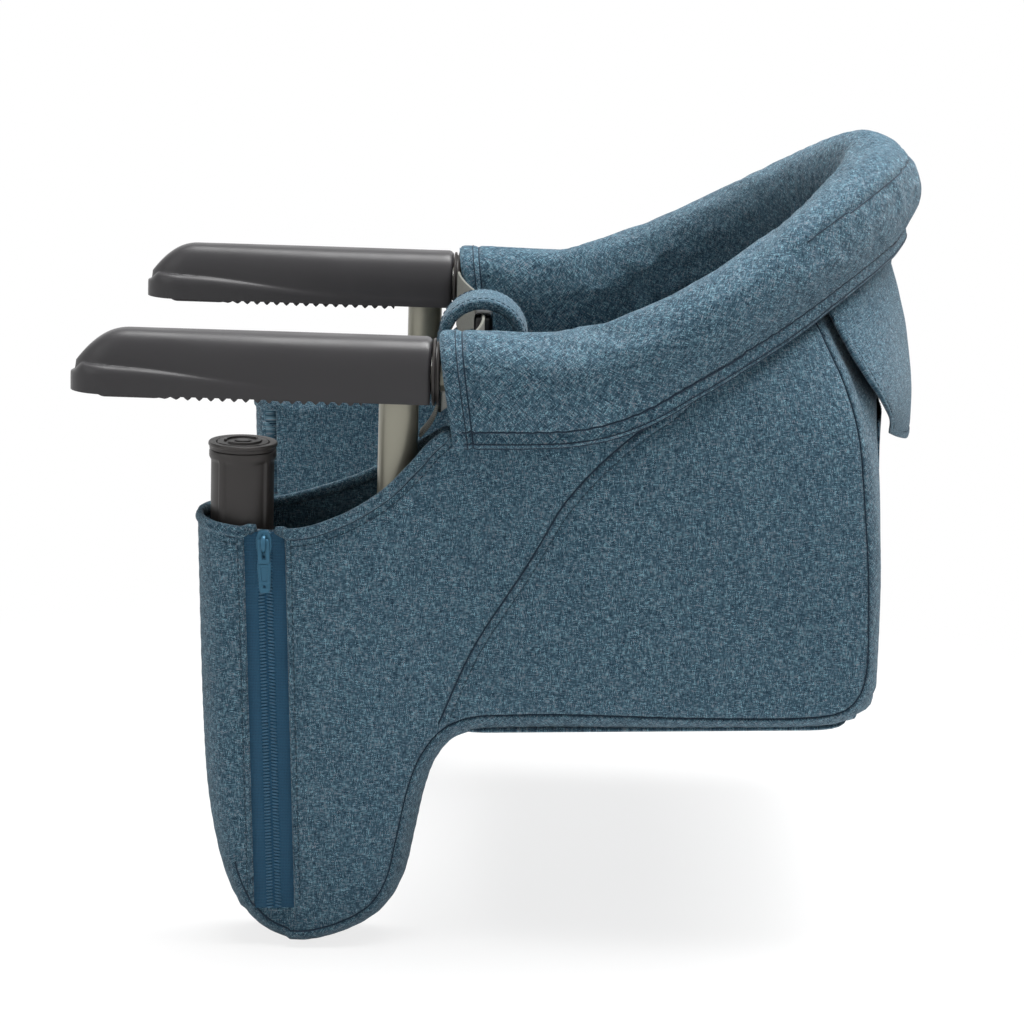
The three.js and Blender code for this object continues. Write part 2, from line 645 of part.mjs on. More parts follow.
function legSleeve() {
  const bottom = SLEEVE_FLAT - SLEEVE_BOTTOM;
  const seatFold = range(3).map((i) => SEAT_FRONT_Z - (SLEEVE_THICKNESS * i) / 2);
  const round = [0, 0.37, 0.65, 0.86, 1].map((share) => blend(ROUND_Z, bottom, share));
  const levels = [0, -MOUTH_LOW, blend(-MOUTH_LOW, SEAT_FRONT_Z, 0.5), ...seatFold, ...round];
  const innerLevels = [TUBE_OD, ...levels.slice(1, -1), bottom + CLOTH];
  const outer = loft(levels.map((z) => sleeveSection(z, 0)));
  const inner = loft(innerLevels.map((z) => sleeveSection(z, CLOTH)));
  const span = SLEEVE_REAR + MOUTH_FLAT;
  const steps = 8;
  const climb = range(steps + 1).map((i) => {
    const share = i / steps;
    return [-MOUTH_FLAT + span * share, blend(-MOUTH_LOW, -MOUTH_REAR, share ** MOUTH_CURVE)];
  });
  const beyond = TUBE_OD;
  const mouth = [
    [-SLEEVE_FRONT - beyond, 2 * beyond], [-SLEEVE_FRONT - beyond, -MOUTH_LOW], ...climb,
    [SLEEVE_REAR + beyond, -MOUTH_REAR + beyond], [SLEEVE_REAR + beyond, 2 * beyond],
  ];
  return cut(outer, inner, plateY(mouth, -SLEEVE_THICKNESS, SLEEVE_THICKNESS));
}

// Zip on the pocket's outer face. Its group's own Z runs up along the chain, Y out of the cloth.

const ZIP_RUN = hypot(ZIP_TOP_X - ZIP_BOTTOM_X, ZIP_BOTTOM - ZIP_TOP);
const ZIP_TILT = -atan2(ZIP_TOP_X - ZIP_BOTTOM_X, ZIP_BOTTOM - ZIP_TOP);
const COIL_TOP = ZIP_TAPE_THICKNESS + ZIP_COIL_HEIGHT;
const SLIDER_TOP = COIL_TOP + GAP + SLIDER_ROOF;
const PULL_PIN_Z = -SLIDER_LENGTH / 2;
const PULL_PIN_Y = SLIDER_TOP + 2 * PULL_PIN_R + GAP;
const PULL_NECK = PULL_WIDTH / 2; // width of the pull between the cheeks

// A round bar across the pull's hinge
const pullPin = (reach, radius) => pipe(
  [point(-reach, PULL_PIN_Y, PULL_PIN_Z), point(reach, PULL_PIN_Y, PULL_PIN_Z)],
  sideY, radius, 0, ROD_SIDES);

function zipChain() {
  const outline = [
    [-ZIP_TAPE / 2, 0], [ZIP_TAPE / 2, 0], [ZIP_TAPE / 2, ZIP_TAPE_THICKNESS],
    [ZIP_COIL / 2, ZIP_TAPE_THICKNESS], [ZIP_COIL / 2, COIL_TOP],
    [-ZIP_COIL / 2, COIL_TOP], [-ZIP_COIL / 2, ZIP_TAPE_THICKNESS], [-ZIP_TAPE / 2, ZIP_TAPE_THICKNESS],
  ];
  return plateZ(outline, -ZIP_RUN, 0);
}

// The slider straddles the coil; two cheeks on its roof carry the pull's pin
function zipSlider() {
  const half = SLIDER_WIDTH / 2;
  const channel = ZIP_COIL / 2 + GAP;
  const foot = ZIP_TAPE_THICKNESS + GAP;
  const outline = [
    [-half, foot], [-channel, foot], [-channel, COIL_TOP + GAP], [channel, COIL_TOP + GAP],
    [channel, foot], [half, foot], [half, SLIDER_TOP], [-half, SLIDER_TOP],
  ];
  const body = plateZ(outline, -SLIDER_LENGTH, 0);
  const cheeks = [-1, 1].map((way) => {
    const middle = way * (PULL_NECK / 2 + GAP + CHEEK_WIDTH / 2);
    const cheek = new THREE.BoxGeometry(CHEEK_WIDTH, 4 * PULL_PIN_R + GAP, 4 * PULL_PIN_R);
    return cheek.translate(middle, SLIDER_TOP + 2 * PULL_PIN_R - GAP, PULL_PIN_Z);
  });
  return cut(join(body, ...cheeks), pullPin(SLIDER_WIDTH, PULL_PIN_R / 2 + GAP));
}

// The pull: a slim tab that hangs from a pin between the cheeks
function zipPull() {
  const neck = PULL_NECK / 2;
  const outline = [
    [-neck, PULL_PIN_R], [-neck, -2 * PULL_PIN_R], [-PULL_WIDTH / 2, -PULL_LENGTH / 2],
    [-PULL_WIDTH / 2, -PULL_LENGTH + neck], [-neck, -PULL_LENGTH], [neck, -PULL_LENGTH],
    [PULL_WIDTH / 2, -PULL_LENGTH + neck], [PULL_WIDTH / 2, -PULL_LENGTH / 2],
    [neck, -2 * PULL_PIN_R], [neck, PULL_PIN_R],
  ];
  const tab = plateZ(outline, -PULL_THICKNESS / 2, PULL_THICKNESS / 2);
  tab.rotateX(PI / 2);
  tab.translate(0, PULL_PIN_Y, PULL_PIN_Z);
  return join(tab, pullPin(neck + GAP + CHEEK_WIDTH, PULL_PIN_R / 2));
}

// Rail: straight beside the child, then round the back and climbing

const rampShare = (x) => limit((x - RAMP_X) / (BACK_X - RAMP_X));
const RAMP_STEEPNESS = RAIL_RISE / (1 - RAIL_SOFT / 2);

function railHeight(x) {
  const share = rampShare(x);
  const soft = share < RAIL_SOFT ? (share * share) / (2 * RAIL_SOFT) : share - RAIL_SOFT / 2;
  return AXIS_HEIGHT + RAMP_STEEPNESS * soft;
}

// Place on the right half of the rail, from share 0 at x = front to 1 at the back's middle
function railStation(front, share) {
  const straight = RING_CENTRE_X - front;
  const run = share * (straight + (PI / 2) * RING_R);
  const angle = max(0, run - straight) / RING_R;
  const x = run < straight ? front + run : RING_CENTRE_X + RING_R * sin(angle);
  const climb = (RAMP_STEEPNESS / (BACK_X - RAMP_X)) * min(1, rampShare(x) / RAIL_SOFT) * cos(angle);
  return {
    centre: point(x, RING_R * cos(angle), railHeight(x)),
    out: point(sin(angle), cos(angle), 0),
    up: point(-climb * cos(angle), climb * sin(angle), 1).normalize(),
  };
}

// Shares of the stations along half the rail, so that all its coverings follow the same corners
function railShares(front) {
  const run = RING_CENTRE_X - front + (PI / 2) * RING_R;
  const roundSteps = 8;
  const straight = [front, (front + RAMP_X) / 2, RAMP_X, (RAMP_X + RING_CENTRE_X) / 2];
  const round = range(roundSteps + 1).map((i) => RING_CENTRE_X + ((PI / 2) * RING_R * i) / roundSteps);
  return [...straight, ...round].map((place) => (place - front) / run);
}

// A right-half list of stations continued over the mid-plane to the left
function bothHalves(front, make) {
  const right = railShares(front).map((share) => make(railStation(front, share), share));
  const flip = (p) => point(p.x, -p.y, p.z);
  const left = right.slice(0, -1).reverse().map((item) => (Array.isArray(item) ? item.map(flip) : flip(item)));
  return [...right, ...left];
}

function backRail() {
  const path = bothHalves(RAIL_FRONT, ({ centre }) => centre);
  const tube = pipe(path, sideLevel, TUBE_R, TUBE_BORE);
  const pins = [-ARM_Y, ARM_Y].map((y) =>
    rodY(RAIL_PIN_X, AXIS_HEIGHT, RAIL_PIN_D / 2 + GAP, 2 * TUBE_OD).translate(0, y, 0));
  return cut(tube, ...pins);
}

// Padded roll: round over the rail, drawn down to a hem on its outer side

const hemDrop = (share) => blend(HEM_FRONT, HEM_BACK, ease(share));

// Place under the roll's hem, moved out from it
function hemPoint(front, share, outwards) {
  const { centre, out, up } = railStation(front, share);
  return centre.addScaledVector(out, HEM_OUT + outwards).addScaledVector(up, -hemDrop(share) - HEM_SEAM);
}

function rollRing({ centre, out, up }, share, radius) {
  const hemLength = hypot(hemDrop(share), HEM_OUT);
  const hemAngle = atan2(-hemDrop(share), HEM_OUT);
  return range(ROLL_SIDES).map((j) => {
    const angle = hemAngle + (2 * PI * j) / ROLL_SIDES;
    const tail = max(0, cos(HEM_TAPER * atan2(sin(angle - hemAngle), cos(angle - hemAngle)))) ** 2;
    const r = radius ?? blend(blend(ROLL_FRONT_D, ROLL_BACK_D, ease(share)) / 2, hemLength, tail);
    return centre.clone().addScaledVector(out, r * cos(angle)).addScaledVector(up, r * sin(angle));
  });
}

function bolster() {
  const bore = (TUBE_R + GAP) / cos(PI / ROLL_SIDES);
  const outer = bothHalves(ROLL_FRONT_X, (station, share) => rollRing(station, share));
  const inner = bothHalves(ROLL_FRONT_X, (station, share) => rollRing(station, share, bore));
  return loft([...outer, ...inner.reverse()], true);
}

// Seat shell: a rounded rectangle at the seat that leans to the rail's round at the top

const SHELL_STRAIGHT = SEAT_BACK_X - SEAT_CORNER - PANEL_FRONT;
const SHELL_ARC = (PI / 2) * SEAT_CORNER;
const SHELL_BACK = SEAT_HALF_WIDTH - SEAT_CORNER;
const SHELL_RUN = SHELL_STRAIGHT + SHELL_ARC + SHELL_BACK;
const CORNER_SHARE = (SHELL_STRAIGHT + SHELL_ARC / 2) / SHELL_RUN;

function shellFoot(share) {
  const run = share * SHELL_RUN;
  const angle = min(PI / 2, max(0, run - SHELL_STRAIGHT) / SEAT_CORNER);
  const x = min(run, SHELL_STRAIGHT) + PANEL_FRONT + SEAT_CORNER * sin(angle);
  const past = max(0, run - SHELL_STRAIGHT - SHELL_ARC);
  const y = SEAT_HALF_WIDTH - SEAT_CORNER * (1 - cos(angle)) - past;
  return point(x, y, seatLow(x));
}

function shellPoint(share, height) {
  const foot = shellFoot(share);
  const hem = hemPoint(PANEL_FRONT, share, 0);
  const lean = height ** PANEL_CURVE;
  return point(blend(foot.x, hem.x, lean), blend(foot.y, hem.y, lean), blend(foot.z, hem.z, height));
}

const SHELL_ROWS = range(6).map((i) => i / 5);
const seamShare = (PANEL / 2 + GAP) / SHELL_RUN;

function sidePanel() {
  const straightEnd = SHELL_STRAIGHT / SHELL_RUN;
  const shares = [...range(8).map((i) => (straightEnd * i) / 7),
    (straightEnd + CORNER_SHARE) / 2, CORNER_SHARE - seamShare];
  return slab(SHELL_ROWS.map((height) => shares.map((share) => shellPoint(share, height))), PANEL);
}

function backPanel() {
  const cornerEnd = (SHELL_STRAIGHT + SHELL_ARC) / SHELL_RUN;
  const half = [CORNER_SHARE + seamShare, cornerEnd, ...range(6).map((i) => blend(cornerEnd, 1, (i + 1) / 6))];
  const grid = SHELL_ROWS.map((height) => {
    const right = half.map((share) => shellPoint(share, height));
    const left = right.slice(0, -1).reverse().map((p) => point(p.x, -p.y, p.z));
    return [...right, ...left];
  });
  return slab(grid, PANEL);
}

// Seat: outer cloth, stiff board and cushion. Their group's own plane is the seat's slope.

function roundedPlate(front, rear, half, corner, z0, z1) {
  const steps = 4;
  const arc = (cx, cy, start) => range(steps + 1).map((i) => {
    const angle = start + ((PI / 2) * i) / steps;
    return [cx + corner * cos(angle), cy + corner * sin(angle)];
  });
  return plateZ([
    ...arc(rear - corner, half - corner, 0), ...arc(front + corner, half - corner, PI / 2),
    ...arc(front + corner, corner - half, PI), ...arc(rear - corner, corner - half, 1.5 * PI),
  ], z0, z1);
}

const SEAT_INNER = SEAT_HALF_WIDTH - PANEL / 2 - GAP;
const SEAT_REAR = SEAT_BACK_X - PANEL / 2 - GAP;
const BOARD_LOW = SEAT_SKIN + GAP;
const BOARD_TOP = BOARD_LOW + BOARD_THICKNESS;

function seatCushion() {
  const steps = 10;
  const front = CUSHION_FRONT;
  const rear = SEAT_REAR - BOARD_MARGIN;
  const half = SEAT_INNER - BOARD_MARGIN;
  const low = BOARD_TOP + GAP;
  const places = range(steps + 1).map((i) => -cos((PI * i) / steps));
  const top = places.map((u) => places.map((v) => {
    const drawX = CUSHION_DRAW * (1 - v ** 2);
    const drawY = CUSHION_DRAW * (1 - u ** 2);
    const x = (front + rear) / 2 + u * ((rear - front) / 2 - drawX);
    const crown = CUSHION_CROWN * (1 - u ** 4) * (1 - v ** 4);
    return point(x, v * (half - drawY), low + CUSHION_EDGE + crown);
  }));
  const bottom = top.map((row) => row.map((p) => point(p.x, p.y, low)));
  return gridLoft(top.map((row, i) => [...row, ...bottom[i].slice().reverse()]), steps + 1);
}

// Back pocket, open at the top, and the flap that hangs over it

function backPocket() {
  const seatFace = SEAT_BACK_X + PANEL / 2 + GAP;
  const steps = 12;
  const lens = (inset) => range(steps + 1).map((i) => {
    const share = -1 + (2 * i) / steps;
    return [seatFace + CLOTH - inset + POCKET_BULGE * (1 - share ** 4), share * (POCKET_HALF_WIDTH - inset)];
  });
  const edge = POCKET_HALF_WIDTH;
  const outer = plateZ([[seatFace, -edge], ...lens(0), [seatFace, edge]], POCKET_BOTTOM, POCKET_TOP);
  const back = seatFace - CLOTH;
  const inside = [[back, CLOTH - edge], ...lens(CLOTH), [back, edge - CLOTH]];
  return cut(outer, plateZ(inside, POCKET_BOTTOM + CLOTH, POCKET_TOP + CLOTH));
}

function pocketFlap() {
  const columns = 10;
  const rows = 5;
  const halfRun = RING_CENTRE_X - PANEL_FRONT + (PI / 2) * RING_R;
  const standOff = (PANEL + FLAP_THICKNESS) / 2 + FLAP_CLEARANCE;
  const grid = range(rows + 1).map((i) => range(columns + 1).map((j) => {
    const across = -1 + (2 * j) / columns;
    const fall = i / rows;
    const reach = blend(FLAP_HALF_WIDTH, FLAP_LOW_HALF_WIDTH, fall);
    const share = 1 - (abs(across) * asin(reach / RING_R) * RING_R) / halfRun;
    const foot = seatLow(SEAT_BACK_X);
    const top = shellPoint(share, 1).z;
    const low = blend(FLAP_LOW, FLAP_CORNER_LOW, across ** 4);
    const height = (blend(top, low, fall) - foot) / (top - foot);
    const place = shellPoint(share, height);
    const { out } = railStation(PANEL_FRONT, share);
    const away = point(1, 0, 0).lerp(out, height ** PANEL_CURVE).normalize();
    const spread = 1 - (1 - limit((fall - FLAP_TOP) / (1 - FLAP_TOP))) ** FLAP_CURVE;
    const flare = blend(FLAP_FLARE, FLAP_CORNER_FLARE, across ** 2) * spread;
    place.addScaledVector(away, standOff + flare);
    return point(place.x, across < 0 ? -place.y : place.y, place.z);
  }));
  return slab(grid, FLAP_THICKNESS);
}

// Crotch strap with its loop, belts and buckle

const STRAP_FOOT = SEAT_FRONT_Z + BOARD_TOP + GAP;

function crotchStrap() {
  const outer = LOOP_D / 2;
  const inner = outer - STRAP_THICKNESS;
  const sides = 20;
  const round = (radius) => range(sides).map((i) => {
    const angle = (2 * PI * i) / sides;
    return [LOOP_X + radius * cos(angle), LOOP_Z + radius * sin(angle)];
  });
  const half = STRAP_THICKNESS / 2;
  const foot = STRAP_FOOT + SEAT_SLOPE * (STRAP_FOOT_X + half - SLEEVE_REAR);
  const neck = LOOP_Z - outer + half;
  const stem = [
    [LOOP_X - half, neck], [STRAP_FOOT_X - half, foot], [STRAP_FOOT_X + half, foot], [LOOP_X + half, neck],
  ];
  const width = STRAP_WIDTH / 2;
  const loop = cut(plateY(round(outer), -width, width), plateY(round(inner), -STRAP_WIDTH, STRAP_WIDTH));
  return join(loop, plateY(stem, -width, width));
}

const BUCKLE_Y = -BUCKLE_LENGTH / 2; // the body's closed end, on the left
const TONGUE_Y = BUCKLE_Y + BUCKLE_LENGTH + TONGUE_LENGTH - 2 * BUCKLE_DEPTH; // the tongue's belt end

// Webbing that leaves the ring and runs to the buckle, on the right; end is its place in Y
function waistBelt(end) {
  const start = ARM_Y - RING_D / 2 - GAP;
  const ringX = RAIL_FRONT + GAP + RING_LENGTH / 2;
  const steps = 8;
  const grid = [-0.5, 0.5].map((side) => range(steps + 1).map((i) => {
    const share = i / steps;
    return point(blend(ringX, LOOP_X, ease(share)), blend(start, end, share), LOOP_Z + side * BELT_WIDTH);
  }));
  return slab(grid, BELT_THICKNESS);
}

const BUTTON_X = LOOP_X - BUCKLE_DEPTH / 2; // front face of the buckle

function buckleBody() {
  const block = new THREE.BoxGeometry(BUCKLE_DEPTH, BUCKLE_LENGTH, BUCKLE_HEIGHT).translate(LOOP_X, 0, LOOP_Z);
  const slotDepth = BUCKLE_DEPTH - 2 * BUCKLE_WALL;
  const slot = new THREE.BoxGeometry(slotDepth, BUCKLE_LENGTH, TONGUE_HEIGHT + 4 * GAP)
    .translate(LOOP_X, BUCKLE_WALL, LOOP_Z);
  const hole = pipe([point(BUTTON_X - BUCKLE_WALL, 0, LOOP_Z), point(LOOP_X, 0, LOOP_Z)],
    sideY, BUTTON_D / 2 + GAP, 0);
  return cut(block, slot, hole);
}

function buckleTongue() {
  const inner = TONGUE_Y - TONGUE_LENGTH;
  const back = LOOP_X + BUCKLE_DEPTH / 2 - BUCKLE_WALL - GAP;
  const plate = new THREE.BoxGeometry(TONGUE_THICKNESS, TONGUE_LENGTH, TONGUE_HEIGHT);
  return plate.translate(back - TONGUE_THICKNESS / 2, inner + TONGUE_LENGTH / 2, LOOP_Z);
}

// The button stands proud of the buckle's front face; its flange keeps it in
function buckleButton() {
  const inside = BUTTON_X + BUCKLE_WALL + GAP;
  const flange = 0.8;
  const stages = [
    [BUTTON_X - BUTTON_PROUD, BUTTON_D / 2 - GAP], [BUTTON_X - BUTTON_PROUD + GAP, BUTTON_D / 2],
    [inside, BUTTON_D / 2], [inside, BUTTON_D / 2 + 2 * GAP], [inside + flange, BUTTON_D / 2 + 2 * GAP],
  ];
  return loft(stages.map(([x, r]) => circle(point(x, 0, LOOP_Z), point(0, 1, 0), point(0, 0, 1), r, TUBE_SIDES)));
}

// Assembly

function buildArm(side, mirror, foldAngle) {
  const arm = new THREE.Group();
  arm.position.y = ARM_Y;
  add(arm, `${side}_arm_tube`, cut(armTube(), ...stopSlots(foldAngle)), STEEL);
  add(arm, `${side}_hook_tube`, hookTube(), TUBE_SILVER);
  add(arm, `${side}_arm_cover`, armCover(), PLASTIC_GREY);
  add(arm, `${side}_arm_base`, armBase(), PLASTIC_DARK);
  add(arm, `${side}_grip_pad`, gripPad(), RUBBER);
  add(arm, `${side}_cover_screw_front`, coverScrew(SCREW_FRONT), STEEL);
  add(arm, `${side}_cover_screw_rear`, coverScrew(SCREW_REAR), STEEL);
  add(arm, `${side}_arm_plug`, armPlug(), PLASTIC_DARK);
  add(arm, `${side}_pivot_shaft`, pivotShaft(), STEEL);
  add(arm, `${side}_stop_pin`, stopPin(), STEEL);
  add(arm, `${side}_rail_pin`, railPin(), STEEL);
  add(arm, `${side}_belt_ring`, beltRing(), PLASTIC_DARK);
  add(arm, `${side}_clamp_screw`, clampScrew(mirror), STEEL);
  add(arm, `${side}_clamp_sleeve`, clampSleeve(), PLASTIC_DARK);
  add(arm, `${side}_clamp_cap`, clampCap(), PLASTIC_DARK);
  add(arm, `${side}_clamp_pad`, clampPad(), RUBBER);
  add(arm, `${side}_pad_rivet`, padRivet(), STEEL);
  add(arm, `${side}_leg_sleeve`, legSleeve(), CLOTH_BLUE);
  arm.add(buildZip(side));
  return arm;
}

function buildZip(side) {
  const zip = new THREE.Group();
  zip.position.set(-ZIP_TOP_X, SLEEVE_HALF + GAP, -ZIP_TOP);
  zip.rotation.y = ZIP_TILT;
  add(zip, `${side}_zip_chain`, zipChain(), ZIP_BLUE);
  add(zip, `${side}_zip_slider`, zipSlider(), ZIP_BLUE);
  add(zip, `${side}_zip_pull`, zipPull(), ZIP_BLUE);
  return zip;
}

function buildSeat() {
  const seat = new THREE.Group();
  add(seat, 'back_rail', backRail(), TUBE_SILVER);
  add(seat, 'bolster', bolster(), CUSHION_BLUE);
  add(seat, 'back_panel', backPanel(), CLOTH_BLUE);
  add(seat, 'back_pocket', backPocket(), CLOTH_BLUE);
  add(seat, 'pocket_flap', pocketFlap(), CLOTH_BLUE);
  add(seat, 'crotch_strap', crotchStrap(), CLOTH_BLUE);
  add(seat, 'buckle_body', buckleBody(), PLASTIC_DARK);
  add(seat, 'buckle_tongue', buckleTongue(), PLASTIC_DARK);
  add(seat, 'buckle_button', buckleButton(), PLASTIC_GREY);
  const base = new THREE.Group();
  base.position.set(SLEEVE_REAR, 0, SEAT_FRONT_Z);
  base.rotation.y = -atan(SEAT_SLOPE);
  const ahead = -SLEEVE_REAR;
  const skin = roundedPlate(BOARD_FRONT - BOARD_MARGIN, SEAT_REAR, SEAT_INNER, SEAT_CORNER, 0, SEAT_SKIN);
  const board = roundedPlate(BOARD_FRONT, SEAT_REAR - BOARD_MARGIN, SEAT_INNER - BOARD_MARGIN,
    SEAT_CORNER, BOARD_LOW, BOARD_TOP);
  add(base, 'seat_bottom', skin.translate(ahead, 0, 0), CLOTH_BLUE);
  add(base, 'seat_board', board.translate(ahead, 0, 0), BOARD);
  add(base, 'seat_pad', seatCushion().translate(ahead, 0, 0), CUSHION_BLUE);
  seat.add(base);
  return seat;
}

const chair = new THREE.Group();
chair.add(buildSeat());
for (const [side, mirror, foldAngle, beltEnd] of [
  ['left', -1, FOLD_LEFT, -BUCKLE_Y],
  ['right', 1, FOLD_RIGHT, TONGUE_Y],
]) {
  const half = new THREE.Group();
  half.scale.y = mirror;
  half.add(buildArm(side, mirror, foldAngle));
  add(half, `${side}_side_panel`, sidePanel(), CLOTH_BLUE);
  add(half, `${side}_waist_belt`, waistBelt(beltEnd + GAP), WEBBING);
  chair.add(half);
}

export default chair;
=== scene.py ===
"""Hook-on table chair: cloth, seams, zips, moulded arms and painted tube over the packed frame."""

import json
import math

import bmesh
import bpy
import numpy as np
from bpy.props import FloatProperty, FloatVectorProperty, PointerProperty
from mathutils import Matrix, Vector, geometry, noise
from mathutils.bvhtree import BVHTree
from mathutils.kdtree import KDTree


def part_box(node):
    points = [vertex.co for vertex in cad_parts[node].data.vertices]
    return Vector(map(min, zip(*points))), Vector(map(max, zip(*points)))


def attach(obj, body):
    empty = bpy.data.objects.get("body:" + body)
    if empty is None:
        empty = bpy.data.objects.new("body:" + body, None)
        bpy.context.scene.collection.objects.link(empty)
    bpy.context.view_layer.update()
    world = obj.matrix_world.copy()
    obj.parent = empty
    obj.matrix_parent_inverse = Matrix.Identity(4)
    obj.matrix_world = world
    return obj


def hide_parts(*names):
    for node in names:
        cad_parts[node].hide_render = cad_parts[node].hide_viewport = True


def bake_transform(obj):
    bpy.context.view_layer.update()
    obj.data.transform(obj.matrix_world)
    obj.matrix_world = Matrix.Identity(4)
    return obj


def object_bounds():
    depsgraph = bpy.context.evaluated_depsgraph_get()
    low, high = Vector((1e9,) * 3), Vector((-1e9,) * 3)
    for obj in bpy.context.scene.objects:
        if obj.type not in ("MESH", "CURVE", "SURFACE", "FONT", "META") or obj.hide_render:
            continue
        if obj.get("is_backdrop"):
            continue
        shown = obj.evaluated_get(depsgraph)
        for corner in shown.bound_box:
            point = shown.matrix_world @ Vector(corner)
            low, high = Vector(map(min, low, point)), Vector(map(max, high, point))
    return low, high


bl_info = {
    "name": "Hook-on Table Chair",
    "version": (1, 0, 0),
    "blender": (4, 5, 0),
    "location": "3D View > Sidebar > Table Chair",
    "description": "Dresses the frame of a hook-on table chair in cloth, plastic and painted tube",
    "category": "Object",
}

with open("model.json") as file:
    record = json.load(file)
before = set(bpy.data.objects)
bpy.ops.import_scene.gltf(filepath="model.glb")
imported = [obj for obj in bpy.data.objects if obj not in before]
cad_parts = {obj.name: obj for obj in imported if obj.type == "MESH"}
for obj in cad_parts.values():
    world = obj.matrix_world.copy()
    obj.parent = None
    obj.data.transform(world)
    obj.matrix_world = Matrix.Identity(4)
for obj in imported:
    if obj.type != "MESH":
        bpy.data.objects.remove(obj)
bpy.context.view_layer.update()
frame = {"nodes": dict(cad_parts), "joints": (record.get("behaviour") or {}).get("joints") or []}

MM = 0.001
# All sizes are those of the right side; the left one is its mirror image.
SIDES = {"left": True, "right": False}
HINGES = {joint["name"]: joint for joint in frame["joints"]}


def hinge_place(name):
    """A joint's place in millimetres."""
    return np.array(HINGES[name]["pos_m"]) / MM


def node_box(name):
    """Lowest and highest corner of a CAD node in millimetres."""
    low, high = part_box(name)
    return np.array(low) / MM, np.array(high) / MM


# Sizes in millimetres. What the frame knows is read from it; the rest repeats the part's source.
_, ARM_Y, AXIS_Z = hinge_place("right_fold")
CLAMP_X = hinge_place("right_clamp_turn")[0]
TUBE_R = 10.0
ARM_LOW, ARM_HIGH = node_box("right_arm_cover")
COVER_HALF = (ARM_HIGH[1] - ARM_LOW[1]) / 2
NOSE_ROUND = 20.0
NOSE_RISE = 30.0
NOSE_TIP = 13.0
HOOK_LOW, HOOK_HIGH = node_box("right_hook_tube")
RING_CENTRE_X = 105.5
RING_R = ARM_Y
BACK_X = RING_CENTRE_X + RING_R
RAMP_X = 85.0
RAIL_RISE = 90.0
RAIL_SOFT = 0.25
RAIL_STEEPNESS = RAIL_RISE / (1 - RAIL_SOFT / 2)
ROLL_FRONT_X = 33.0
PANEL_FRONT = 33.3
SEAT_FRONT_Z = -170.0
SEAT_SLOPE = 0.043
SEAT_HALF = 159.5
SEAT_BACK_X = 257.0
SEAT_CORNER = 14.0
SHELL_STRAIGHT = SEAT_BACK_X - SEAT_CORNER - PANEL_FRONT
SHELL_ARC = math.pi / 2 * SEAT_CORNER
SHELL_RUN = SHELL_STRAIGHT + SHELL_ARC + SEAT_HALF - SEAT_CORNER
HEM_OUT = 7.5
HEM_SEAM = 1.8
LOOP_X, LOOP_Z = 48.0, 8.5

# Edge of the side cloth seen from outside: from the front of the mouth round the bottom to the back.
SIDE_EDGE = [
    (-90, -60.5), (-88.5, -106), (-86.5, -159), (-83.5, -202), (-78, -233), (-69.5, -257.5),
    (-57, -274.5), (-38, -282.5), (-14, -278.5), (7, -266.5), (18, -249), (23.5, -224), (28, -201),
    (34.5, -183), (47, -171.5), (76, -168.3), (120, -166.3), (168, -164.3), (215, -162.3), (240, -158.5),
    (253, -148), (258.5, -130), (258, -94), (256.5, -45), (258, -10), (257.5, 14), (256, 30),
]
MOUTH_EDGE = [
    (-92, -57), (-84, -60), (-63, -63), (-38, -62.5), (-18, -55.5), (2, -43.5), (17, -29), (27, -17.5),
    (36, -10.5),
]
INNER_MOUTH = [(-92, -57), (-76, -58), (-53, -56), (-25, -48), (0, -37.5), (18, -25), (36, -11)]
FOLD_SEAM = [(166, 14), (149, 2), (128.5, -14), (99.5, -46), (75.5, -83), (51, -123), (34.5, -163)]
ZIP_TOP = (-55.0, -64.0)
ZIP_LEAN = math.atan2(8, 198)
ZIP_RUN = 198.16
ZIP_HALF = 9.75
ZIP_FACE = 170.8
GUSSET_START = -238.0
ZIP_CROSS = -243.0
ZIP_ROW = 3.6
SEAM_GAP = 4.2
HEM_ROLL = 4.2
HEM_ROWS = 3.6
ROLL_RUN = 311.0
ROLL_HEM_ROWS = (2.6, 7.4)
FRONT_BAND = 10.5
ROLL_TOP_SEAM = math.radians(36)
FLAP_HEM = 4.5
CUSHION_FOOT = 7.1
UNDER_SHORT = 11.0
BAND_ROW = 2.6
GRIP_LIP = 26.0
GRIP_PITCH = 5.8
GRIP_DEPTH = 3.0
GRIP_SMOOTH = 0.25
LINING_START = 0.63
LINING_GAP = 11.0
FLAP_FALL = 105.0
FILL_FRAMES = 20
BELT_THICK = 1.6
BELT_ENDS = {"left": 13.3, "right": 19.3}

# Camera fitted to the photograph: turn, tilt and roll in degrees, place, and focal length in pixels.
CAMERA_TURNS = (-0.5956, 12.7788, 1.7998)
CAMERA_PLACE = (84.893, -1733.746, 304.782)
CAMERA_FOCUS = 3211.37
PHOTO_WIDTH = 1024
SENSOR_WIDTH = 36


def srgb(code):
    """Linear colour from a six-digit hex code."""
    channels = [int(code[i:i + 2], 16) / 255 for i in (0, 2, 4)]
    return tuple(c / 12.92 if c <= 0.04045 else ((c + 0.055) / 1.055) ** 2.4 for c in channels)


def ease(share):
    """A share from 0 to 1 that starts and ends softly."""
    share = np.clip(share, 0, 1)
    return share * share * (3 - 2 * share)


def mix(a, b, share):
    """Value between a and b."""
    return a + (b - a) * share


def soft_ridge(gap, height, width):
    """Height of a soft ridge or groove at a distance from its line."""
    return height * np.exp(-(gap / width) ** 2)


def unit(vectors):
    """Vectors of length one."""
    return vectors / np.linalg.norm(vectors, axis=-1, keepdims=True)


def full_turn(count):
    """Evenly spaced angles once round."""
    return np.linspace(0, 2 * math.pi, count, endpoint=False)


def handed(points, mirror):
    """Points of the right side, or their mirror image on the left."""
    return points * np.array([1, -1 if mirror else 1, 1])


# Lines


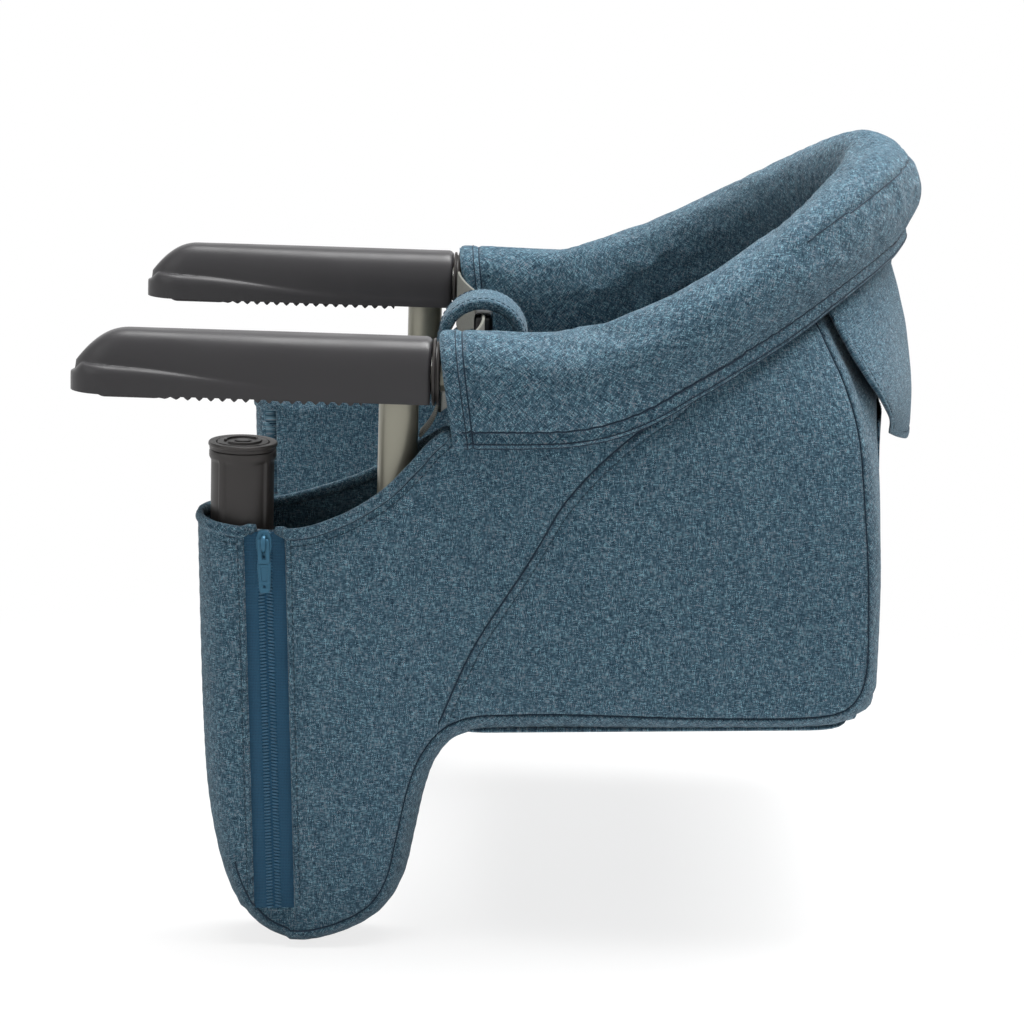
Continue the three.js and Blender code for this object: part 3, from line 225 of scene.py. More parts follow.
def tangents(line):
    """Direction of a line at each of its points."""
    return unit(np.gradient(line, axis=0))


def run_along(line):
    """Run from the start of a line to each of its points."""
    return np.concatenate([[0], np.cumsum(np.linalg.norm(np.diff(line, axis=0), axis=1))])


def resample(line, step):
    """Points at even steps along a line."""
    length = np.linalg.norm(np.diff(np.asarray(line, float), axis=0), axis=1).sum()
    return spread(line, max(2, int(round(length / step)) + 1))


def spread(line, count):
    """The given number of points, evenly along a line."""
    line = np.asarray(line, float)
    run = run_along(line)
    places = np.linspace(0, run[-1], count)
    return np.stack([np.interp(places, run, column) for column in line.T], axis=1)


def curve_spans(points, steps):
    """Points of a smooth curve, so many between two given points; the outermost only guide it."""
    t = np.linspace(0, 1, steps, endpoint=False)[:, None]
    spans = []
    for a, b, c, d in zip(points[:-3], points[1:-2], points[2:-1], points[3:]):
        bend = 2 * a - 5 * b + 4 * c - d
        twist = 3 * b - a - 3 * c + d
        spans.append(0.5 * (2 * b + (c - a) * t + bend * t ** 2 + twist * t ** 3))
    return np.vstack(spans)


def smooth_line(points, step):
    """Points at even steps along a smooth curve through the given points."""
    p = np.asarray(points, float)
    p = np.vstack([2 * p[0] - p[1], p, 2 * p[-1] - p[-2]])
    return resample(np.vstack([curve_spans(p, 30), p[-2:-1]]), step)


# Along the roll from its front end: share, sink below the rail, radius, lean outwards, drop of the hem.
ROLL_SHAPE = smooth_line([
    (0, 0, 20.6, 0, 35.5), (0.12, 0.6, 20.9, -0.05, 34.8), (0.22, 2.0, 20.4, -0.12, 33.4),
    (0.3, 0.4, 19.8, -0.06, 32.4), (0.38, -2.2, 19.2, 0, 31.6), (0.48, -3.6, 19.2, 0.03, 31.0),
    (0.65, -2.0, 20.4, 0.1, 30.0), (0.8, -0.8, 21.6, 0.08, 31.2), (0.92, -2.2, 21.7, -0.04, 33.0),
    (1, -3.2, 21.2, -0.11, 34.0),
], 0.1)


def roll_shape(share):
    """Sink, radius, lean and drop of the hem at a share of the roll's run."""
    return [float(np.interp(share, ROLL_SHAPE[:, 0], ROLL_SHAPE[:, k])) for k in (1, 2, 3, 4)]


def offset_line(line, distance):
    """The line moved to its left; distance is one number or one for each point."""
    along = tangents(line)
    return line + np.stack([-along[:, 1], along[:, 0]], axis=1) * np.reshape(distance, (-1, 1))


def beside(points, line):
    """For each point its distance to a line, the run to the nearest place, and its side."""
    best = np.full(len(points), np.inf)
    place = np.zeros(len(points))
    side = np.ones(len(points))
    run = 0.0
    for a, b in zip(line[:-1], line[1:]):
        step = b - a
        length = np.hypot(*step)
        share = np.clip((points - a) @ step / length ** 2, 0, 1)
        gap = points - a - share[:, None] * step
        distance = np.hypot(gap[:, 0], gap[:, 1])
        nearer = distance < best
        best[nearer] = distance[nearer]
        place[nearer] = run + share[nearer] * length
        side[nearer] = np.sign(step[0] * gap[nearer, 1] - step[1] * gap[nearer, 0])
        run += length
    return best, place, side


def inside(points, outline):
    """Which points lie inside a closed outline."""
    hits = np.zeros(len(points), bool)
    for a, b in zip(outline, np.roll(outline, -1, axis=0)):
        crosses = (a[1] > points[:, 1]) != (b[1] > points[:, 1])
        rise = b[1] - a[1] if b[1] != a[1] else 1e-9
        hits ^= crosses & (points[:, 0] < a[0] + (points[:, 1] - a[1]) / rise * (b[0] - a[0]))
    return hits


def lattice(down, over):
    """Pairs of values on a grid, one row for each value of down."""
    return np.stack(np.meshgrid(down, over, indexing="ij"), axis=2)


def waves(points, size, seed):
    """Soft random waves, about -1 to 1, of the given size over 3-D points."""
    shift = Vector((seed * 17.3, seed * 5.1, seed * 9.7))
    return np.array([noise.noise(Vector(p) / size + shift) for p in np.asarray(points).reshape(-1, 3)])


def flat_waves(across, along, size, seed):
    """Soft random waves over a grid of flat places."""
    spots = np.stack([across, along, np.zeros_like(across)], axis=-1)
    return waves(spots, size, seed).reshape(across.shape)


# Meshes


class Sewing:
    """Collects the points, faces and cloth coordinates of one piece, in millimetres."""

    def __init__(self):
        self.points = []
        self.faces = []
        self.cloth = []
        self.slots = []

    def triangles(self, points, faces, cloth):
        """Faces over loose points, each point with its place on the cloth."""
        first = len(self.points)
        self.points.extend(np.asarray(points, float).tolist())
        for face in faces:
            self.faces.append([first + i for i in face])
            self.cloth.extend(tuple(cloth[i]) for i in face)
            self.slots.append(0)

    def grid(self, points, cloth=None, loop_rows=False, loop_columns=False, slot=0):
        """Quads over rows and columns of points. Cloth has one more of each where the grid is looped."""
        points = np.asarray(points, float)
        rows, columns = points.shape[:2]
        if cloth is None:
            cloth = grid_cloth(points, loop_rows, loop_columns)
        first = len(self.points)
        self.points.extend(points.reshape(-1, 3).tolist())
        for i in range(rows if loop_rows else rows - 1):
            for j in range(columns if loop_columns else columns - 1):
                corners = ((i, j), (i + 1, j), (i + 1, j + 1), (i, j + 1))
                self.faces.append([first + (r % rows) * columns + c % columns for r, c in corners])
                self.cloth.extend(tuple(cloth[r][c]) for r, c in corners)
                self.slots.append(slot)

    def cap(self, ring):
        """Closes a ring of points by a fan about its middle."""
        ring = np.asarray(ring, float)
        middle = ring.mean(axis=0)
        across = unit(ring[0] - middle)
        along = np.roll(ring, -1, axis=0) - ring
        normal = unit(np.cross(ring - middle, along).sum(axis=0))
        points = np.vstack([ring, middle])
        cloth = (points - middle) @ np.column_stack([across, np.cross(normal, across)])
        count = len(ring)
        self.triangles(points, [(i, (i + 1) % count, count) for i in range(count)], cloth)

    def tube(self, rings, cloth=None):
        """A skin over rings of points, closed at both ends."""
        self.grid(rings, cloth, loop_columns=True)
        self.cap(rings[0])
        self.cap(rings[-1])

    def piece(self, name, materials, mirror=False, outward=True, crease=None):
        """The finished object, at the origin and in metres. Mirror swaps it to the left."""
        points = np.array(self.points) * MM
        if mirror:
            points[:, 1] *= -1
        mesh = bpy.data.meshes.new(name)
        mesh.from_pydata(points.tolist(), [], self.faces)
        layer = mesh.uv_layers.new(name="cloth")
        layer.data.foreach_set("uv", np.array(self.cloth, np.float32).ravel() * MM)
        mesh.polygons.foreach_set("material_index", self.slots)
        for material in materials if isinstance(materials, (list, tuple)) else [materials]:
            mesh.materials.append(material)
        build = bmesh.new()
        build.from_mesh(mesh)
        bmesh.ops.remove_doubles(build, verts=build.verts, dist=2e-6)
        if outward:
            bmesh.ops.recalc_face_normals(build, faces=build.faces)
        elif mirror:
            bmesh.ops.reverse_faces(build, faces=build.faces)
        build.to_mesh(mesh)
        build.free()
        mesh.shade_smooth()
        if crease:
            mesh.set_sharp_from_angle(angle=math.radians(crease))
        return place_object(name, mesh)


def place_object(name, mesh):
    """Puts a mesh into the scene as an object at the origin."""
    obj = bpy.data.objects.new(name, mesh)
    bpy.context.scene.collection.objects.link(obj)
    return obj


def vertex_places(mesh):
    """Places of a mesh's vertices, in metres."""
    return np.array([tuple(v.co) for v in mesh.vertices])


def vertex_numbers(obj, points):
    """Numbers of an object's vertices that lie at points in millimetres."""
    tree = KDTree(len(obj.data.vertices))
    for number, vertex in enumerate(obj.data.vertices):
        tree.insert(vertex.co, number)
    tree.balance()
    return np.array([tree.find(Vector(point))[1] for point in np.asarray(points) * MM])


def grid_cloth(points, loop_rows=False, loop_columns=False):
    """Cloth coordinates of a grid from the lengths along its middle row and column."""
    ring = np.concatenate([points, points[:1]]) if loop_rows else points
    ring = np.concatenate([ring, ring[:, :1]], axis=1) if loop_columns else ring
    down = np.linalg.norm(np.diff(ring, axis=0), axis=2).mean(axis=1)
    over = np.linalg.norm(np.diff(ring, axis=1), axis=2).mean(axis=0)
    down = np.concatenate([[0], np.cumsum(down)])
    over = np.concatenate([[0], np.cumsum(over)])
    return lattice(down, over)


def skin(name, rings, material, mirror=False, crease=None, cloth=None):
    """A piece that is one closed skin over rings of points."""
    sewing = Sewing()
    sewing.tube(rings, cloth)
    return sewing.piece(name, material, mirror, crease=crease)


def ring_at(height, radius, angle):
    """Points round the z axis; height and radius are one number or one for each angle."""
    return np.column_stack([radius * np.cos(angle), radius * np.sin(angle), height + 0 * angle])


def turned(name, profile, centre, axis, material, mirror, sides=64):
    """A piece turned about the x or z axis from a profile [(place, radius)], which may be closed."""
    rings = np.array([ring_at(place, radius, full_turn(sides)) for place, radius in profile])
    if axis == "x":
        rings = rings[..., [2, 0, 1]]
    rings = rings + np.asarray(centre, float)
    if profile[0] != profile[-1]:
        return skin(name, rings, material, mirror, 35)
    sewing = Sewing()
    sewing.grid(rings, loop_columns=True)
    return sewing.piece(name, material, mirror, crease=35)


def swept(path, normals, across, profile):
    """Rings of a profile along a path: its first axis lies across, its second along the normals."""
    return np.array([p + across * profile[:, :1] + n * profile[:, 1:] for p, n in zip(path, normals)])


def rounded_block(name, low, high, radius, material, mirror=False, segments=4):
    """A block with rounded edges."""
    mesh = bpy.data.meshes.new(name)
    build = bmesh.new()
    bmesh.ops.create_cube(build, size=1)
    middle = (np.asarray(low, float) + high) / 2
    size = np.asarray(high, float) - low
    for vert in build.verts:
        vert.co = Vector((middle + np.array(vert.co) * size) * MM)
        if mirror:
            vert.co.y *= -1
    bmesh.ops.bevel(build, geom=build.edges, offset=radius * MM, segments=segments, profile=0.5,
                    affect="EDGES")
    bmesh.ops.recalc_face_normals(build, faces=build.faces)
    build.to_mesh(mesh)
    build.free()
    mesh.materials.append(material)
    mesh.shade_smooth()
    mesh.set_sharp_from_angle(angle=math.radians(50))
    return place_object(name, mesh)


def bore(obj, low, high, radius):
    """Cuts a round hole along x out of a block, between two points in millimetres."""
    mesh = bpy.data.meshes.new("drill")
    build = bmesh.new()
    middle = (np.asarray(low, float) + high) / 2 * MM
    bmesh.ops.create_cone(build, cap_ends=True, segments=48, radius1=radius * MM, radius2=radius * MM,
                          depth=(high[0] - low[0]) * MM,
                          matrix=Matrix.Translation(middle) @ Matrix.Rotation(math.pi / 2, 4, "Y"))
    build.to_mesh(mesh)
    build.free()
    drill = place_object("drill", mesh)
    cut = obj.modifiers.new("cut", "BOOLEAN")
    cut.object = drill
    cut.solver = "EXACT"
    seen = obj.evaluated_get(bpy.context.evaluated_depsgraph_get())
    shaped = bpy.data.meshes.new_from_object(seen)
    obj.modifiers.remove(cut)
    obj.data = shaped
    bpy.data.objects.remove(drill)
    shaped.set_sharp_from_angle(angle=math.radians(40))


def thicken(obj, thickness, offset=-1.0):
    """Gives a sheet its thickness in millimetres."""
    wall = obj.modifiers.new("wall", "SOLIDIFY")
    wall.thickness = thickness * MM
    wall.offset = offset


def swell(obj, held, pressure, reach, ease_in=0.0):
    """Fills a closed piece by cloth simulation; held is each point's hold, reach the longest way."""
    scene = bpy.context.scene
    start = vertex_places(obj.data)
    group = obj.vertex_groups.new(name="sewn")
    for index in np.flatnonzero(held > 0.02):
        group.add([int(index)], float(min(1.0, held[index])), "REPLACE")
    cloth = obj.modifiers.new("fill", "CLOTH")
    settings = cloth.settings
    settings.quality = 6
    settings.mass = 0.05
    settings.air_damping = 4.0
    settings.tension_stiffness = 12
    settings.compression_stiffness = 6
    settings.shear_stiffness = 4
    settings.bending_stiffness = 0.4
    settings.use_pressure = True
    settings.uniform_pressure_force = pressure
    settings.vertex_group_mass = "sewn"
    settings.pin_stiffness = 1
    settings.shrink_min = -ease_in
    settings.effector_weights.gravity = 0
    cloth.collision_settings.use_collision = False
    cloth.collision_settings.use_self_collision = False
    cloth.point_cache.frame_start = 1
    cloth.point_cache.frame_end = FILL_FRAMES
    for step in range(1, FILL_FRAMES + 1):
        scene.frame_set(step)
    seen = obj.evaluated_get(bpy.context.evaluated_depsgraph_get())
    moved = vertex_places(seen.data) - start
    obj.modifiers.remove(cloth)
    obj.vertex_groups.remove(group)
    scene.frame_set(1)
    way = np.linalg.norm(moved, axis=1)
    limit = reach * MM
    moved *= (limit * np.tanh(way / limit) / np.maximum(way, 1e-9))[:, None]
    obj.data.vertices.foreach_set("co", (start + moved).astype(np.float32).ravel())
    obj.data.update()


def bend_with_arm(obj):
    """Bakes the placement of a piece of the side's cloth into its mesh."""
    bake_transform(obj)


def fit(obj, body, slot, *nodes):
    """Hands a piece to the frame: its body and the nodes that it stands for. The slot is not used."""
    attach(obj, body)
    if nodes:
        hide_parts(*nodes)


# Rail and cloth surfaces


def rail(front, place):
    """Centre, outward and upward direction of the rail; place runs from -1, left, to 1, right."""
    place = np.asarray(place, float)
    straight = RING_CENTRE_X - front
    run = (1 - np.abs(place)) * (straight + math.pi / 2 * RING_R)
    angle = np.maximum(0, run - straight) / RING_R
    side = np.where(place < 0, -1.0, 1.0)
    x = np.where(run < straight, front + run, RING_CENTRE_X + RING_R * np.sin(angle))
    share = np.clip((x - RAMP_X) / (BACK_X - RAMP_X), 0, 1)
    soft = np.where(share < RAIL_SOFT, share ** 2 / (2 * RAIL_SOFT), share - RAIL_SOFT / 2)
    climb = RAIL_STEEPNESS / (BACK_X - RAMP_X) * np.minimum(1, share / RAIL_SOFT) * np.cos(angle)
    centre = np.stack([x, side * RING_R * np.cos(angle), AXIS_Z + RAIL_STEEPNESS * soft], axis=-1)
    out = np.stack([np.sin(angle), side * np.cos(angle), np.zeros_like(x)], axis=-1)
    up = np.stack([-climb * np.cos(angle), side * climb * np.sin(angle), np.ones_like(x)], axis=-1)
    return centre, out, unit(up)


def hem_drop(share):
    """How far the panels' top edge lies below the rail."""
    return mix(32.0, 27.0, ease(share))


def seat_low(x):
    """Height of the seat's underside."""
    return SEAT_FRONT_Z + SEAT_SLOPE * (x - PANEL_FRONT)


def hem_point(share):
    """Where the panels' top edge meets the roll, for the right side."""
    centre, out, up = rail(PANEL_FRONT, 1 - np.asarray(share, float))
    return centre + out * HEM_OUT - up * (hem_drop(share) + HEM_SEAM)[..., None], out


def side_surface(x, z):
    """Point of the right side's cloth for its own x and height z, and its outward direction."""
    x, z = np.broadcast_arrays(np.asarray(x, float), np.asarray(z, float))
    share = np.maximum(0, x - PANEL_FRONT) / SHELL_RUN
    hem, out = hem_point(share)
    foot_x = np.clip(x, PANEL_FRONT, SEAT_BACK_X)
    foot = np.stack([foot_x, SEAT_HALF - np.maximum(0, x - SEAT_BACK_X), seat_low(foot_x)], -1)
    height = (z - foot[..., 2]) / (hem[..., 2] - foot[..., 2])
    lean = (np.clip(height, 0, 1) ** 4)[..., None]
    point = mix(foot, hem, lean)
    point[..., 2] = z
    point[..., 0] += np.minimum(0, x - PANEL_FRONT)
    turn = math.pi / 2 * ease((x - SEAT_BACK_X + 6) / 24)
    away = mix(np.stack([np.sin(turn), np.cos(turn), np.zeros_like(turn)], -1), out, lean)
    return point, unit(away)


def back_surface(share, height, proud=0.0):
    """Point of the right half of the back panel; share runs from the corner to the mid-plane."""
    run = share * SHELL_RUN
    angle = np.clip((run - SHELL_STRAIGHT) / SEAT_CORNER, 0, math.pi / 2)
    foot_x = PANEL_FRONT + np.minimum(run, SHELL_STRAIGHT) + SEAT_CORNER * np.sin(angle)
    past = np.maximum(0, run - SHELL_STRAIGHT - SHELL_ARC)
    foot_y = SEAT_HALF - SEAT_CORNER * (1 - np.cos(angle)) - past
    foot = np.stack([foot_x, foot_y, seat_low(foot_x)], axis=-1)
    hem, out = hem_point(share)
    lean = (np.clip(height, 0, 1) ** 4)[..., None]
    point = mix(foot, hem, lean)
    point[..., 2] = mix(foot[..., 2], hem[..., 2], height)
    away = mix(np.stack([np.sin(angle), np.cos(angle), np.zeros_like(angle)], axis=-1), out, lean)
    away = unit(away)
    return point + away * proud, away


def sleeve_swell(x):
    """How far the cloth round the hook stands outside the seat's side."""
    return 11.0 * (1 - ease((x + 12) / 72))


# Shader groups and materials

COLOUR, NUMBER = "NodeSocketColor", "NodeSocketFloat"


def add_node(tree, kind, inputs=(), **settings):
    """A node with its settings, its inputs set to values or linked to sockets."""
    made = tree.nodes.new(kind)
    for key, value in settings.items():
        setattr(made, key, value)
    for key, value in dict(inputs).items():
        if isinstance(value, bpy.types.NodeSocket):
            tree.links.new(value, made.inputs[key])
        else:
            made.inputs[key].default_value = value
    return made


def maths(tree, operation, first, second=0.0, third=0.0):
    """Result of one sum."""
    return add_node(tree, "ShaderNodeMath", {0: first, 1: second, 2: third},
                    operation=operation).outputs[0]


def stretch(tree, value, low, high, out_low=0.0, out_high=1.0):
    """Value mapped smoothly from one range to another."""
    ranges = {"Value": value, "From Min": low, "From Max": high, "To Min": out_low, "To Max": out_high}
    return add_node(tree, "ShaderNodeMapRange", ranges,
                    interpolation_type="SMOOTHSTEP").outputs["Result"]


def vector_maths(tree, operation, first, second):
    """Result of one vector sum; a scale takes a number as its second value."""
    key = "Scale" if operation == "SCALE" else 1
    return add_node(tree, "ShaderNodeVectorMath", {0: first, key: second},
                    operation=operation).outputs[0]


def between(tree, share, first, second):
    """A number between two others."""
    return add_node(tree, "ShaderNodeMix", {0: share, 2: first, 3: second}, data_type="FLOAT").outputs[0]


def tint(tree, share, first, second):
    """A colour between two others."""
    return add_node(tree, "ShaderNodeMix", {0: share, 6: first, 7: second}, data_type="RGBA").outputs[2]


def seen_share(tree):
    """One where a ray comes from the camera, a reflection or a clear body, otherwise nought."""
    path = add_node(tree, "ShaderNodeLightPath").outputs
    bounced = maths(tree, "MAXIMUM", path["Is Glossy Ray"], path["Is Transmission Ray"])
    return maths(tree, "MAXIMUM", path["Is Camera Ray"], bounced)


def shader_group(name, inputs, outputs):
    """An empty shader group with its input and output nodes."""
    tree = bpy.data.node_groups.new(name, "ShaderNodeTree")
    for label, kind, value in inputs:
        socket = tree.interface.new_socket(name=label, in_out="INPUT", socket_type=kind)
        socket.default_value = value
    for label, kind in outputs:
        tree.interface.new_socket(name=label, in_out="OUTPUT", socket_type=kind)
    return tree, tree.nodes.new("NodeGroupInput").outputs, tree.nodes.new("NodeGroupOutput").inputs


def slub_weave_group():
    """Plain weave of uneven yarn: each thread runs from dark to pale and grey along its length; crowns
    of the threads are painted lighter and the gaps between them darker, as painted shade.
    """
    tree, given, result = shader_group(
        "slub weave",
        [("Pitch", NUMBER, 0.9), ("Turn", NUMBER, 0.0), ("Yarn", COLOUR, (0.1, 0.2, 0.3, 1)),
         ("Dark Yarn", COLOUR, (0.02, 0.05, 0.08, 1)), ("Pale Yarn", COLOUR, (0.3, 0.4, 0.5, 1)),
         ("Grey Yarn", COLOUR, (0.2, 0.2, 0.2, 1))],
        [("Color", COLOUR), ("Height", NUMBER)],
    )
    cloth = add_node(tree, "ShaderNodeTexCoord").outputs["UV"]
    turned_cloth = add_node(tree, "ShaderNodeVectorRotate", {"Vector": cloth, "Angle": given["Turn"]},
                            rotation_type="Z_AXIS").outputs[0]
    scale = maths(tree, "DIVIDE", 1000.0, given["Pitch"])
    threads = vector_maths(tree, "SCALE", turned_cloth, scale)
    wander = add_node(tree, "ShaderNodeTexNoise", {"Vector": threads, "Scale": 0.06, "Detail": 1.0},
                      noise_dimensions="2D").outputs["Color"]
    shift = vector_maths(tree, "SUBTRACT", wander, (0.5, 0.5, 0.5))
    shift = vector_maths(tree, "SCALE", shift, 2.0)
    threads = vector_maths(tree, "ADD", threads, shift)
    axes = add_node(tree, "ShaderNodeSeparateXYZ", {0: threads}).outputs
    yarns, tones = [], []
    for along, across, layer in (("X", "Y", 3.0), ("Y", "X", 41.0)):
        length = maths(tree, "MULTIPLY", axes[along], 0.19)
        thread = maths(tree, "MULTIPLY", maths(tree, "FLOOR", axes[across]), 3.7)
        spot = add_node(tree, "ShaderNodeCombineXYZ", {"X": length, "Y": thread, "Z": layer}).outputs[0]
        slub = add_node(tree, "ShaderNodeTexNoise",
                        {"Vector": spot, "Scale": 1.0, "Detail": 1.0, "Roughness": 0.6})
        yarns.append(slub.outputs["Fac"])
        tones.append(add_node(tree, "ShaderNodeSeparateColor",
                              {0: slub.outputs["Color"]}).outputs["Blue"])
    ridges = [maths(tree, "SINE", maths(tree, "MULTIPLY", axes[key], math.pi)) for key in ("X", "Y")]
    crossing = stretch(tree, maths(tree, "MULTIPLY", ridges[0], ridges[1]), -0.15, 0.15)
    over = maths(tree, "MULTIPLY_ADD", crossing, 0.64, 0.18)
    yarn = between(tree, over, *yarns)
    tone = between(tree, over, *tones)
    high = between(tree, crossing, maths(tree, "ABSOLUTE", ridges[1]),
                   maths(tree, "ABSOLUTE", ridges[0]))
    # Colour follows the height of the top thread: painted shade in the gaps between threads, over the
    # yarn's own tone.
    shade = maths(tree, "MULTIPLY_ADD", maths(tree, "SUBTRACT", high, 0.64), 0.2, yarn)
    light = tint(tree, stretch(tree, tone, 0.42, 0.58), given["Pale Yarn"], given["Grey Yarn"])
    colour_one = tint(tree, stretch(tree, shade, 0.34, 0.51), given["Dark Yarn"], given["Yarn"])
    colour_two = tint(tree, stretch(tree, shade, 0.51, 0.69), colour_one, light)
    tree.links.new(colour_two, result["Color"])
    tree.links.new(maths(tree, "MULTIPLY_ADD", yarn, 0.8, high), result["Height"])


def rib_weave_group():
    """Belt webbing: close ribs across the belt with a fine herringbone of yarns, with painted shade in
    the grooves between the ribs.
    """
    tree, given, result = shader_group(
        "rib weave",
        [("Pitch", NUMBER, 1.1), ("Yarn", COLOUR, (0.3, 0.3, 0.3, 1)),
         ("Dark Yarn", COLOUR, (0.1, 0.1, 0.1, 1))],
        [("Color", COLOUR), ("Height", NUMBER)],
    )
    cloth = add_node(tree, "ShaderNodeTexCoord").outputs["UV"]
    scale = maths(tree, "DIVIDE", 1000.0, given["Pitch"])
    threads = vector_maths(tree, "SCALE", cloth, scale)
    axes = add_node(tree, "ShaderNodeSeparateXYZ", {0: threads}).outputs
    rib = maths(tree, "ABSOLUTE", maths(tree, "SINE", maths(tree, "MULTIPLY", axes["X"], math.pi)))
    slant = maths(tree, "ABSOLUTE", maths(tree, "SINE", maths(tree, "MULTIPLY", axes["Y"], math.pi)))
    grain = add_node(tree, "ShaderNodeTexNoise", {"Vector": threads, "Scale": 1.3, "Detail": 2.0},
                     noise_dimensions="2D").outputs["Fac"]
    height = maths(tree, "MULTIPLY", rib, maths(tree, "MULTIPLY_ADD", slant, 0.5, 0.5))
    # Colour follows rib height, darker in the grooves: painted shade, with random grain.
    shade = maths(tree, "MULTIPLY_ADD", grain, 0.5, maths(tree, "MULTIPLY", height, 0.6))
    tree.links.new(tint(tree, stretch(tree, shade, 0.1, 0.75), given["Dark Yarn"], given["Yarn"]),
                   result["Color"])
    tree.links.new(height, result["Height"])


def moulded_grain_group():
    """Fine spark-eroded grain of moulded plastic, with faint broad unevenness and rubbed spots."""
    tree, given, result = shader_group(
        "moulded grain",
        [("Colour", COLOUR, (0.1, 0.1, 0.1, 1)), ("Rubbed", COLOUR, (0.2, 0.2, 0.2, 1)),
         ("Grain", NUMBER, 0.5)],
        [("Color", COLOUR), ("Height", NUMBER), ("Gloss", NUMBER)],
    )
    place = add_node(tree, "ShaderNodeTexCoord").outputs["Object"]
    scale = maths(tree, "DIVIDE", 1000.0, given["Grain"])
    grain_place = vector_maths(tree, "SCALE", place, scale)
    grain = add_node(tree, "ShaderNodeTexNoise",
                     {"Vector": grain_place, "Scale": 1.0, "Detail": 2.0}).outputs["Fac"]
    broad = add_node(tree, "ShaderNodeTexNoise",
                     {"Vector": place, "Scale": 45.0, "Detail": 3.0}).outputs["Fac"]
    worn = stretch(tree, broad, 0.56, 0.78, 0.0, 0.35)
    tree.links.new(tint(tree, worn, given["Colour"], given["Rubbed"]), result["Color"])
    tree.links.new(grain, result["Height"])
    tree.links.new(stretch(tree, broad, 0.3, 0.7, -0.05, 0.05), result["Gloss"])


def new_material(name, roughness, metallic=0.0, specular=0.5, sheen=0.0):
    """Node tree and shader node of a new material with its constants set."""
    material = bpy.data.materials.new(name)
    material.use_nodes = True
    tree = material.node_tree
    shader = tree.nodes["Principled BSDF"]
    constants = {"Roughness": roughness, "Metallic": metallic, "Specular IOR Level": specular,
                 "Sheen Weight": sheen,
                 "Sheen Roughness": 0.5}
    for key, value in constants.items():
        shader.inputs[key].default_value = value
    return tree, shader


def use_group(tree, shader, name, values, bump, depth):
    """Puts a shared group's colour and height onto a shader."""
    group = add_node(tree, "ShaderNodeGroup", node_tree=bpy.data.node_groups[name])
    for key, value in values.items():
        group.inputs[key].default_value = value
    tree.links.new(group.outputs["Color"], shader.inputs["Base Color"])
    lift = add_node(tree, "ShaderNodeBump",
                    {"Strength": bump, "Distance": depth * MM, "Height": group.outputs["Height"]})
    tree.links.new(lift.outputs["Normal"], shader.inputs["Normal"])
    return group


def cloth_material(name, turn, dim=1.0, coarse=1.0):
    """Slubbed cloth whose threads are turned by an angle."""
    colours = bpy.context.scene.chair_cloth
    tree, shader = new_material(name, 0.92, specular=0.2, sheen=0.12)
    values = {"Pitch": colours.pitch / MM * coarse, "Turn": turn}
    for yarn in ("yarn", "dark_yarn", "pale_yarn", "grey_yarn"):
        values[yarn.replace("_", " ").title()] = tuple(c * dim for c in getattr(colours, yarn)) + (1,)
    use_group(tree, shader, "slub weave", values, 0.6, 0.3 * coarse)


def webbing_material(name, colour, pitch=1.1):
    """Ribbed webbing, tape or thread of one colour."""
    tree, shader = new_material(name, 0.8, specular=0.3, sheen=0.1)
    # The darker colour fills the grooves between ribs as painted shade, and the grain's random dark
    # spots.
    dark = tuple(c * 0.45 for c in colour) + (1,)
    values = {"Pitch": pitch, "Yarn": tuple(colour) + (1,), "Dark Yarn": dark}
    use_group(tree, shader, "rib weave", values, 0.7, 0.4)


def moulded_material(name, colour, roughness, grain=0.5, bump=0.12, metallic=0.0, specular=0.5,
                     rubbed=1.25):
    """Grained plastic, rubber or metal, paler where it is rubbed."""
    tree, shader = new_material(name, roughness, metallic, specular)
    paler = tuple(min(1.0, c * rubbed) for c in colour) + (1,)
    group = use_group(tree, shader, "moulded grain",
                      {"Colour": tuple(colour) + (1,), "Rubbed": paler, "Grain": grain}, bump, 0.15)
    gloss = maths(tree, "ADD", group.outputs["Gloss"], roughness)
    tree.links.new(gloss, shader.inputs["Roughness"])


def make_materials():
    """All finishes of the chair by name."""
    slub_weave_group()
    rib_weave_group()
    moulded_grain_group()
    cloth = bpy.context.scene.chair_cloth
    hard = bpy.context.scene.chair_hard
    cloth_material("cloth_straight", 0.0)
    cloth_material("cloth_bias", math.radians(45), coarse=1.12)
    cloth_material("cloth_gusset", math.radians(38), 0.9)
    webbing_material("belt_webbing", cloth.webbing)
    webbing_material("zip_tape_weave", cloth.tape, 0.8)
    webbing_material("seam_thread", cloth.thread, 0.5)
    # Dark colour of the seam cords: painted shade in the seams' grooves over the thread.
    webbing_material("seam_shadow", tuple(c * 1.9 for c in cloth.dark_yarn), 0.5)
    moulded_material("arm_moulding", hard.arm, 0.4, specular=0.4)
    moulded_material("clamp_moulding", hard.clamp, 0.42, specular=0.4)
    moulded_material("pad_rubber", hard.rubber, 0.8, 0.4, 0.3)
    moulded_material("buckle_moulding", hard.buckle, 0.28, 0.4, 0.05)
    moulded_material("tube_paint", hard.tube, 0.36, 0.25, 0.06, 0.55, rubbed=1.08)
    moulded_material("pin_steel", hard.steel, 0.3, 0.3, 0.08, 1.0, rubbed=1.1)
    moulded_material("zip_enamel", hard.zip_metal, 0.32, 0.3, 0.05, 0.5, rubbed=1.35)
    moulded_material("zip_coil", cloth.coil, 0.35, 0.3, 0.1)


def finish_of(name):
    """A finish by its name."""
    return bpy.data.materials[name]


# Geometry nodes


